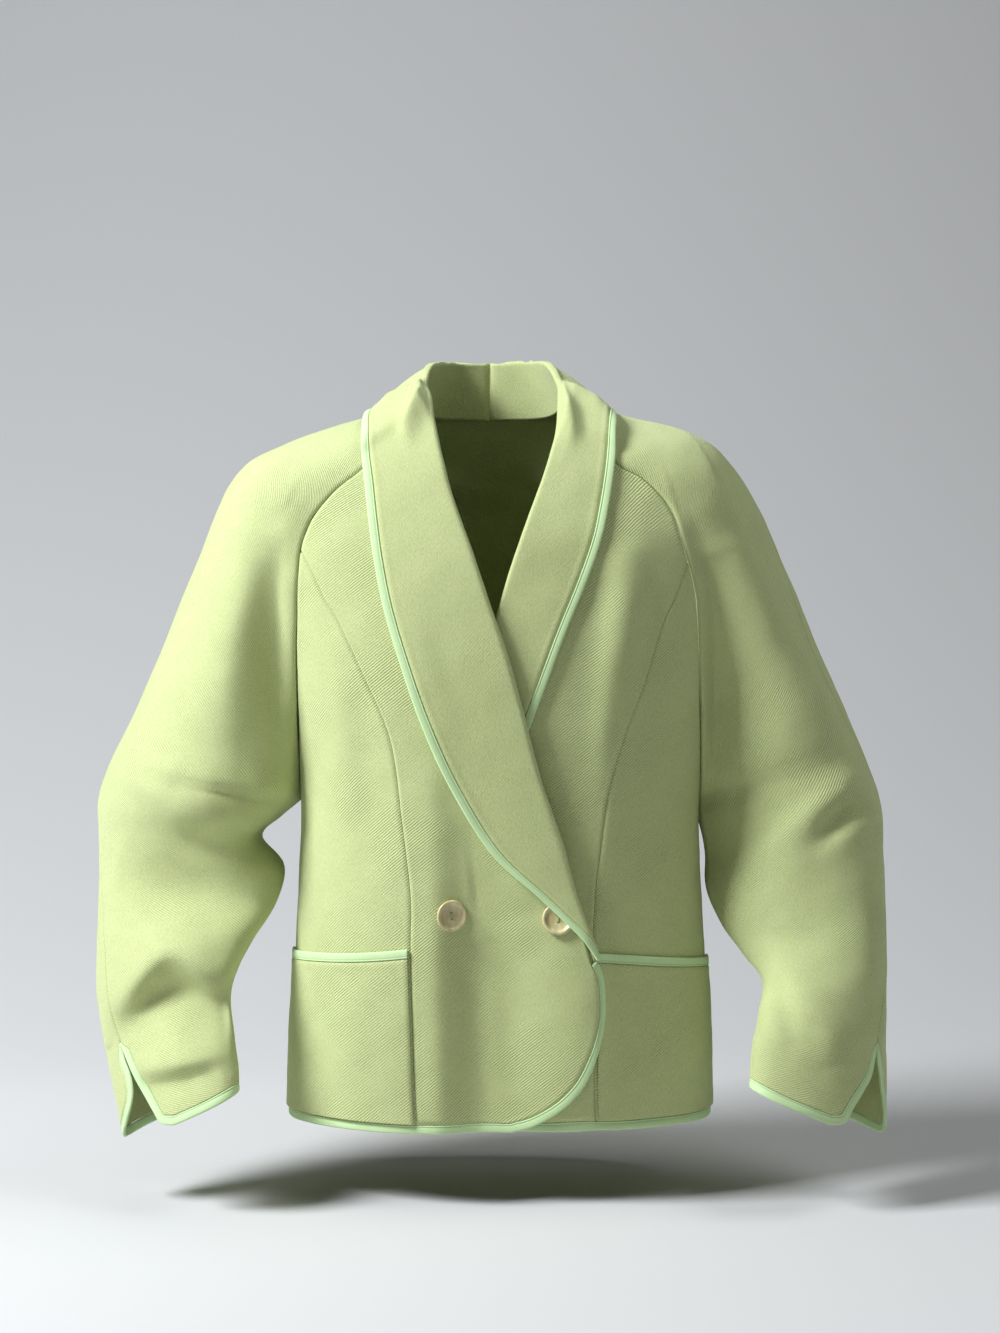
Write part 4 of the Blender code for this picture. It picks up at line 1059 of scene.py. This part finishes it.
def build_sleeve_half(which, part, end, side):
    """Half a sleeve, from the raglan or underarm seam (at this end of the ring) to the slit."""
    sleeve = sleeves[which]
    shift, above = even_curve(FLAPS[which, part], SLIT_STEPS * FINE + 1).T
    k = sleeve.last - above
    slit = paired(sleeve.seam(k) + shift, k)
    hem_t = np.linspace(slit[-1, 0], end, HEM_COLUMNS)[1:]
    outline = sleeve.inset(np.vstack([slit, paired(hem_t, sleeve.last)]), SEAM / 2, side)
    outline[len(slit):, 1] = sleeve.last
    run = lengths_along(sleeve.point(*outline.T))
    width = BINDING_WIDTH * (TAPER_START + (1 - TAPER_START) * ease(run, 0, TAPER))[:, None]
    inner = sleeve.inset(outline, width + SEAM, side)

    top = sleeve.last - SLIT_ROWS - BELOW_SLIT
    k = np.linspace(0, top, int(top * FINE) + 1)
    seam_edge = np.vstack([paired(sleeve.seam(k), k), inner[1:len(slit)]])
    seam_edge[:len(k)] = sleeve.inset(seam_edge, SEAM / 2, side)[:len(k)]
    start_k = np.concatenate([k, np.linspace(top, inner[-1, 1], len(slit))[1:]])
    gape = SEAM / 2 + (NECK_EASE - SEAM / 2) * (1 - ease(start_k, *EASE_ROWS))
    start_edge = sleeve.inset(paired(end, start_k), gape[:, None], -side)

    across = shares(*ACROSS["sleeve"])
    uv = between(start_edge, seam_edge, across)
    hem = inner[len(slit) - 1:][::-1]
    hem_row = curve(hem, np.interp(across, np.linspace(0, 1, len(hem)), np.arange(len(hem))))
    blend = ease(np.arange(len(uv)), len(k), len(uv) - 1)[:, None, None]
    uv = uv + blend * (hem_row - uv[-1])
    cloth_panel(f"sleeve_{part}_{which}", sleeve, uv, sleeve_grain(sleeve))
    outline[-1] = start_edge[-1, 0], sleeve.last
    binding(f"binding_cuff_{part}_{which}", sleeve, outline, side, width=width)


# --- collar -----------------------------------------------------------------------

LAPEL_LIFT = {"right": 7.0 * MM, "left": 4.6 * MM}
TIP_LIFT = 3.4 * MM         # the right lapel lies flatter over the last rows to its tip
TIP_ROWS = 4
# The lapel's narrow tip runs on into the front edge: roll x, z, outer x, z.
TIP = ((83.5, -468, 76.5, -467.5), (87.0, -479, 84.0, -480))
TURN_STEPS = 4
ROW_STEPS, COLUMN_STEPS = 8, 5      # fine lines of the collar to each line of its tables
COLUMNS = 64
NECK_ROLL = 3.0 * MM        # radius of the collar's turned edge behind the neck
NECK_LEAN = 0.6             # of that radius, outward from the roll line
NECK_DIP = (0, 1.6 * MM, -8 * MM)   # its seam goes in and down by this, towards the back
FALL_CROWN = 0.2            # how far the fall bulges, as a share of its width
NECK_MIDDLE = -10.0 * MM    # the centre back of the neck, a little to the wearer's right
COLLAR_SEAM = 0.01 * MM     # half the gap between the collars behind the neck
FALL = (0.15, 0.3, 0.45, 0.6, 0.8, 1.0)
FALL_COLUMNS = len(FALL) * COLUMN_STEPS + 1
CLEAR = CLOTH / 2 + BINDING_PROUD + 1.9 * MM        # of the fall's middle above what it lies on
REST_REACH = 0.03
REST_ROUNDS, BLUR_ROUNDS, PUSH = 3, 12, 1.15
BINDING_SHARES = (0.6, 0.35)        # most of the fall and of the stand that its binding takes
COLLAR_WANDER = 0.6         # of the other pieces' unevenness


def rest_on(points, names, clearance):
    """The points, each pushed out until it is this far above the named pieces."""
    moved = np.array(points)
    for index in np.ndindex(moved.shape[:-1]):
        for name in names:
            place, normal, _, _ = skins[name].find_nearest(Vector(moved[index]))
            gap = Vector(moved[index]) - place
            above = gap.dot(normal)
            if above < clearance and gap.length < REST_REACH:
                moved[index] += (clearance - above) * np.array(normal)
    return moved


def lapel_rows(which):
    """Lines of points across the lapel: seam, turned edge, and out to its outer edge."""
    surface, side = fronts[which], SIDES[which]
    table = LAPEL[which] + (TIP if which == "right" else ())
    last = len(table) - 1
    from_tip = last - np.arange(last + 1.0)
    lift = TIP_LIFT + (LAPEL_LIFT[which] - TIP_LIFT) * ease(from_tip, 0, TIP_ROWS) - CLOTH / 2
    radius = (lift + CLOTH / 2) / 2
    roll = on_torso([row[:2] for row in table])
    outer = on_torso([row[2:] for row in table])
    leg = surface.inset(roll, UNDER_LEG - SEAM, -side)
    turn = surface.inset(roll, radius[:, None], -side)
    line = [surface.at(*leg.T, -CLOTH / 2)]
    for k in range(TURN_STEPS + 1):
        a = math.pi * (k / TURN_STEPS - 0.5)
        place = roll + (1 - math.cos(a)) * (turn - roll)
        line.append(surface.at(*place.T, radius - CLOTH / 2 + radius * math.sin(a)))
    line += [surface.at(*((1 - f) * turn + f * outer).T, lift) for f in FALL]
    return np.stack(line, axis=1)


def neck_rows(which):
    """Lines across the collar round the neck: up its stand, over, and down its fall."""
    table = np.array(NECK[which], float) * MM
    seam, roll, outer = table[:, 0:3], table[:, 3:6], table[:, 6:9]
    seam = seam + np.outer(ease(np.arange(len(seam)), 1, 3), NECK_DIP)
    out = unit((outer - seam) * (1, 1, 0))
    up = unit(roll - seam)
    down = unit(outer - roll)
    centre = roll - up * NECK_ROLL + out * NECK_ROLL * NECK_LEAN
    line = [seam]
    for k in range(TURN_STEPS + 1):
        a = math.pi * k / TURN_STEPS
        rise = np.array([0, 0, NECK_ROLL]) * math.sin(a)
        line.append(centre - out * NECK_ROLL * math.cos(a) + rise)
    last = line[-1]
    over = unit(np.cross(np.cross(down, out), down))
    reach = np.linalg.norm(outer - roll, axis=1, keepdims=True)
    line += [last + f * (outer - last) + FALL_CROWN * f * (1 - f) * reach * over for f in FALL]
    return np.stack(line, axis=1)


def blurred(grid, times):
    """The grid after this many rounds of averaging each point with its neighbours."""
    for _ in range(times):
        wide = np.pad(grid, ((1, 1), (1, 1), (0, 0)), mode="edge")
        around = wide[:-2, 1:-1] + wide[2:, 1:-1] + wide[1:-1, :-2] + wide[1:-1, 2:]
        grid = 0.5 * grid + 0.125 * around
    return grid


def at_lengths(line, along, marks):
    return np.stack([np.interp(marks, along, column) for column in line.T], axis=-1)


def collar_grid(which):
    """The collar's middle surface: points from its seam to its outer edge, and normals."""
    side = SIDES[which]
    supports = [f"sleeve_front_{which}", f"sleeve_back_{which}", f"front_{which}", "back"]
    centre_back = NECK_MIDDLE - side * COLLAR_SEAM
    nodes = np.concatenate([neck_rows(which)[::-1], lapel_rows(which)])
    nodes[0, :, 0] = centre_back
    grid = curve(nodes, steps(len(nodes) - 1, ROW_STEPS))
    grid = curve(np.swapaxes(grid, 0, 1), steps(nodes.shape[1] - 1, COLUMN_STEPS))
    grid = np.swapaxes(grid, 0, 1)
    fall = grid[:, -FALL_COLUMNS:]
    for _ in range(REST_ROUNDS):
        fall += blurred(PUSH * (rest_on(fall, supports, CLEAR) - fall), BLUR_ROUNDS)
    grid[0, :, 0] = centre_back
    normals = grid_normals(grid, side)
    normals[0, :, 0] = 0
    return grid, unit(normals)


def build_collar(which):
    cloth, strip = [], []
    for line, upright in zip(*collar_grid(which)):
        row = np.hstack([line, upright])
        along = lengths_along(line)
        stand = along[-FALL_COLUMNS]
        width = min(BINDING_WIDTH, np.dot(BINDING_SHARES, (along[-1] - stand, stand)))
        marks = np.linspace(0, 1, COLUMNS) * (along[-1] - width - SEAM)
        cloth.append(at_lengths(row, along, marks))
        strip.append(at_lengths(row, along, along[-1] - EDGE_SHARES * width))
    cloth, strip = np.array(cloth), np.array(strip)
    place, upright = cloth[..., :3], unit(cloth[..., 3:])
    across, right, top, _ = from_edges(place)
    dip = seam_profile(right) + seam_profile(top)
    height = CLOTH / 2 + COLLAR_WANDER * wander(place)
    grain = paired(across, top.mean(axis=1, keepdims=True))
    add_cloth(f"collar_{which}", place, upright, height, dip, grain, felted)
    place, upright = strip[..., :3], unit(strip[..., 3:])
    place = place + COLLAR_WANDER * wander(place)[..., None] * upright
    edge_strip(f"binding_collar_{which}", place, upright)


# --- pockets and buttons ----------------------------------------------------------

POCKET_LIFT = CLOTH + 0.9 * MM
POCKET_FLOOR = INNER_HEM + 1 * MM
POCKET_MARGIN = 0.012       # share of the side front left free beside each seam
POCKET_TOP = {
    # height at the princess seam, in the middle, at the side seam
    "right": (-469, -478, -482),
    "left": (-474, -484, -489),
}
BUTTON_SEAT = 0.3 * MM
BUTTONS = {
    # x, z, turn of its two holes
    "button_decorative": (-43, -440, 8),
    "button_fastening": (51, -443, 8),
}
BUTTON_PROFILE = (
    # radius, height, from the middle of the face round the rim to the middle below
    (0.0, 1.25), (4.0, 1.27), (7.5, 1.35), (9.3, 1.6), (10.3, 2.05), (11.0, 2.7), (11.7, 3.2),
    (12.5, 3.4), (13.2, 3.22), (13.75, 2.7), (14.0, 2.0), (13.75, 1.2), (13.2, 0.6),
    (12.3, 0.15), (11.0, 0.0), (0.0, 0.0),
)
BUTTON_STEPS = 72
HOLE_RADIUS = 1.1 * MM
HOLE_SPACING = 5.4 * MM
HOLE_BEVEL = 0.2 * MM
SHARP_ANGLE = math.radians(50)
STITCH_SHIFTS = (-0.45, 0.0, 0.45)                  # stitches side by side in the holes
STITCH_HEIGHTS = (-0.2, 1.2, 1.55, 1.85, 1.55, 1.2, -0.2)
STITCH_BEND = 0.6 * MM      # a stitch comes out of its hole over this length
THREAD_RADIUS = 0.3 * MM
THREAD_SIDES = 8


def pocket_top(which, s):
    """Height of a pocket's top edge at a share s of the way from princess to side seam."""
    at_princess, middle, at_side = POCKET_TOP[which]
    return MM * (at_princess * (1 - s) * (1 - 2 * s) + middle * 4 * s * (1 - s)
                 + at_side * s * (2 * s - 1))


def build_pocket(which):
    surface, side = fronts[which], SIDES[which]
    seam = princess_edge(which)[::-1]
    f = POCKET_MARGIN + shares(*ACROSS["pocket"]) * (1 - 2 * POCKET_MARGIN)
    top = pocket_top(which, 1 - f)

    def grid(z):
        princess = np.interp(z, seam[:, 1], seam[:, 0])
        return paired((1 - f) * side * -90 + f * princess, z)

    start = top - BINDING_WIDTH - SEAM
    down = shares(*ACROSS["pocket_down"])[:, None]
    uv = grid(start + down * (POCKET_FLOOR - start))
    cloth_panel(f"pocket_{which}", surface, uv, body_grain, POCKET_LIFT, seams="lrt")
    uv = np.swapaxes(grid(top - EDGE_PROFILE[:, 0, None] * MM), 0, 1)
    strip_on(f"binding_pocket_{which}", surface, uv, POCKET_LIFT)


def build_button(name, x, z, turn):
    """A turned disc with a dished face, a rounded rim and two holes with their thread."""
    mesh = bpy.data.meshes.new(name)
    profile = [(r * MM, 0, h * MM) for r, h in BUTTON_PROFILE]
    mesh.from_pydata(profile, [(i, i + 1) for i in range(len(profile) - 1)], [])
    body = add_object(name + "_disc", mesh)
    mesh.materials.append(horn)
    screw = body.modifiers.new("turn", "SCREW")
    screw.steps = screw.render_steps = BUTTON_STEPS
    screw.use_merge_vertices = True
    screw.merge_threshold = 0.02 * MM
    screw.use_normal_calculate = True
    angle, height = angle_at(x * MM, z * MM), z * MM
    base, normal = torso.point(angle, height), torso.normal(angle, height)
    lift = BUTTON_SEAT + wander(base)
    facing = Vector(normal).to_track_quat("Z", "Y").to_matrix().to_4x4()
    seat = (Matrix.Translation(Vector(base + lift * normal)) @ facing
            @ Matrix.Rotation(math.radians(turn), 4, "Z"))
    body.matrix_world = seat
    cutters = []
    for shift in (-HOLE_SPACING / 2, HOLE_SPACING / 2):
        bpy.ops.mesh.primitive_cylinder_add(radius=HOLE_RADIUS, depth=20 * MM, vertices=24)
        hole = bpy.context.object
        hole.matrix_world = seat @ Matrix.Translation((0, shift, 0))
        cut = body.modifiers.new("hole", "BOOLEAN")
        cut.operation = "DIFFERENCE"
        cut.object = hole
        cutters.append(hole)
    bevel = body.modifiers.new("soft", "BEVEL")
    bevel.width = HOLE_BEVEL
    bevel.segments = 2
    bevel.limit_method = "ANGLE"
    bevel.angle_limit = SHARP_ANGLE
    bpy.context.view_layer.update()
    evaluated = body.evaluated_get(bpy.context.evaluated_depsgraph_get())
    solid = bpy.data.meshes.new_from_object(evaluated)
    solid.name = name
    solid.shade_smooth()
    solid.set_sharp_from_angle(angle=SHARP_ANGLE)
    piece = add_object(name, solid)
    piece.matrix_world = seat
    pieces[name] = piece
    for spare in cutters + [body]:
        bpy.data.objects.remove(spare, do_unlink=True)
    build_thread(name + "_thread", seat)


def tube(line):
    """Points and faces of a thread along a line that lies across X."""
    tangent = unit(np.gradient(line, axis=0))
    across = np.array([1.0, 0, 0])
    up = np.cross(tangent, across)
    turns = np.linspace(0, 2 * math.pi, THREAD_SIDES + 1)[:-1, None]
    ring = np.cos(turns) * across + np.sin(turns) * up[:, None]
    points = (line[:, None] + THREAD_RADIUS * ring).reshape(-1, 3)
    faces = []
    for i in range(0, len(points) - THREAD_SIDES, THREAD_SIDES):
        for j in range(THREAD_SIDES):
            a, b = i + j, i + (j + 1) % THREAD_SIDES
            faces.append((a, b, b + THREAD_SIDES, a + THREAD_SIDES))
    faces.append(tuple(range(THREAD_SIDES))[::-1])
    faces.append(tuple(range(len(points) - THREAD_SIDES, len(points))))
    return points, faces


def build_thread(name, seat):
    """The stitches between a button's two holes, and down through them."""
    half = HOLE_SPACING / 2
    bend = half - STITCH_BEND
    along = (-half, -half, -bend, 0, bend, half, half)
    heights = np.array(STITCH_HEIGHTS) * MM
    points, faces = [], []
    for shift in STITCH_SHIFTS:
        path = np.stack([np.full(len(heights), shift * MM), along, heights], axis=-1)
        stitch, sides = tube(curve(path, steps(len(path) - 1, 4)))
        faces += [tuple(corner + len(points) for corner in face) for face in sides]
        points += stitch.tolist()
    mesh = bpy.data.meshes.new(name)
    mesh.from_pydata(points, [], faces)
    mesh.shade_smooth()
    mesh.materials.append(thread)
    piece = add_object(name, mesh)
    piece.matrix_world = seat
    pieces[name] = piece


# --- the jacket -------------------------------------------------------------------

for which in ("right", "left"):
    build_front(which)
    build_side_front(which)
build_back()
for which, flip in SIDES.items():
    build_sleeve_half(which, "front", 0.0, flip)
    build_sleeve_half(which, "back", 1.0, -flip)
for which in ("right", "left"):
    build_collar(which)
    build_pocket(which)
for button, (x, z, turn) in BUTTONS.items():
    build_button(button, x, z, turn)

# Each piece hangs from the root body, and the CAD solid of the same name is hidden, except for the
# threads.
for name, piece in pieces.items():
    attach(piece, "root")
    if not name.endswith("_thread"):
        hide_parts(name)


# --- floor, light and camera ------------------------------------------------------

FLOOR_Z = -0.70
FLOOR_FRONT = -6.0
FLOOR_HALF = 7.0
FLOOR_COLOUR = (0.6, 0.6, 0.59, 1)
SWEEP_Y = 0.6               # where the floor starts to curve up
SWEEP = 2.0                 # radius of that curve
SWEEP_STEPS = 24
WALL_TOP = 5.0
LIGHTS = (
    # name, place, aim, size, power, colour
    ("window", (-1.95, -0.92, 1.5), (0, 0, -0.3), (0.9, 0.9), 128, (0.97, 1.0, 1.06)),
    ("sky", (1.3, -0.2, 2.0), (0.1, 0, -0.3), (1.6, 1.0), 24, (0.96, 1.0, 1.04)),
)
WORLD_COLOUR, WORLD_STRENGTH = (1.0, 0.95, 0.9, 1), 0.045
EYE = (0, -2.14, -0.221)
SENSOR = 24.0
FOCAL_PIXELS = 2291
PHOTO_HEIGHT = 1333


def add_floor():
    """A plain sweep: a floor that curves up into a wall behind the jacket."""
    n = Nodes("floor")
    n.set(Base_Color=FLOOR_COLOUR, Roughness=1.0, Specular_IOR_Level=0.0)
    turns = np.linspace(0, math.pi / 2, SWEEP_STEPS + 1)
    profile = [(FLOOR_FRONT, 0.0)]
    profile += [(SWEEP_Y + SWEEP * math.sin(t), SWEEP - SWEEP * math.cos(t)) for t in turns]
    profile.append((SWEEP_Y + SWEEP, WALL_TOP))
    points = [(x, y, z + FLOOR_Z) for x in (-FLOOR_HALF, FLOOR_HALF) for y, z in profile]
    count = len(profile)
    faces = [(i, i + count, i + count + 1, i + 1) for i in range(count - 1)]
    mesh = bpy.data.meshes.new("floor")
    mesh.from_pydata(points, [], faces)
    mesh.shade_smooth()
    mesh.materials.append(n.material)
    add_object("floor", mesh)


def add_light(name, place, aim, size, power, colour):
    light = bpy.data.lights.new(name, "AREA")
    light.shape = "RECTANGLE"
    light.size, light.size_y = size
    light.energy = power
    light.color = colour
    lamp = add_object(name, light)
    lamp.location = place
    lamp.rotation_euler = (Vector(aim) - Vector(place)).to_track_quat("-Z", "Y").to_euler()


add_floor()
for light in LIGHTS:
    add_light(*light)
world = bpy.data.worlds.new("world")
world.use_nodes = True
background = world.node_tree.nodes["Background"]
background.inputs["Color"].default_value = WORLD_COLOUR
background.inputs["Strength"].default_value = WORLD_STRENGTH
bpy.context.scene.world = world
bpy.context.scene.view_settings.view_transform = "Standard"

camera = add_object("camera", bpy.data.cameras.new("camera"))
camera.location = EYE
camera.rotation_euler = (math.pi / 2, 0, 0)
camera.data.sensor_fit = "VERTICAL"
camera.data.sensor_height = SENSOR
camera.data.lens = SENSOR * FOCAL_PIXELS / PHOTO_HEIGHT
bpy.context.scene.camera = camera
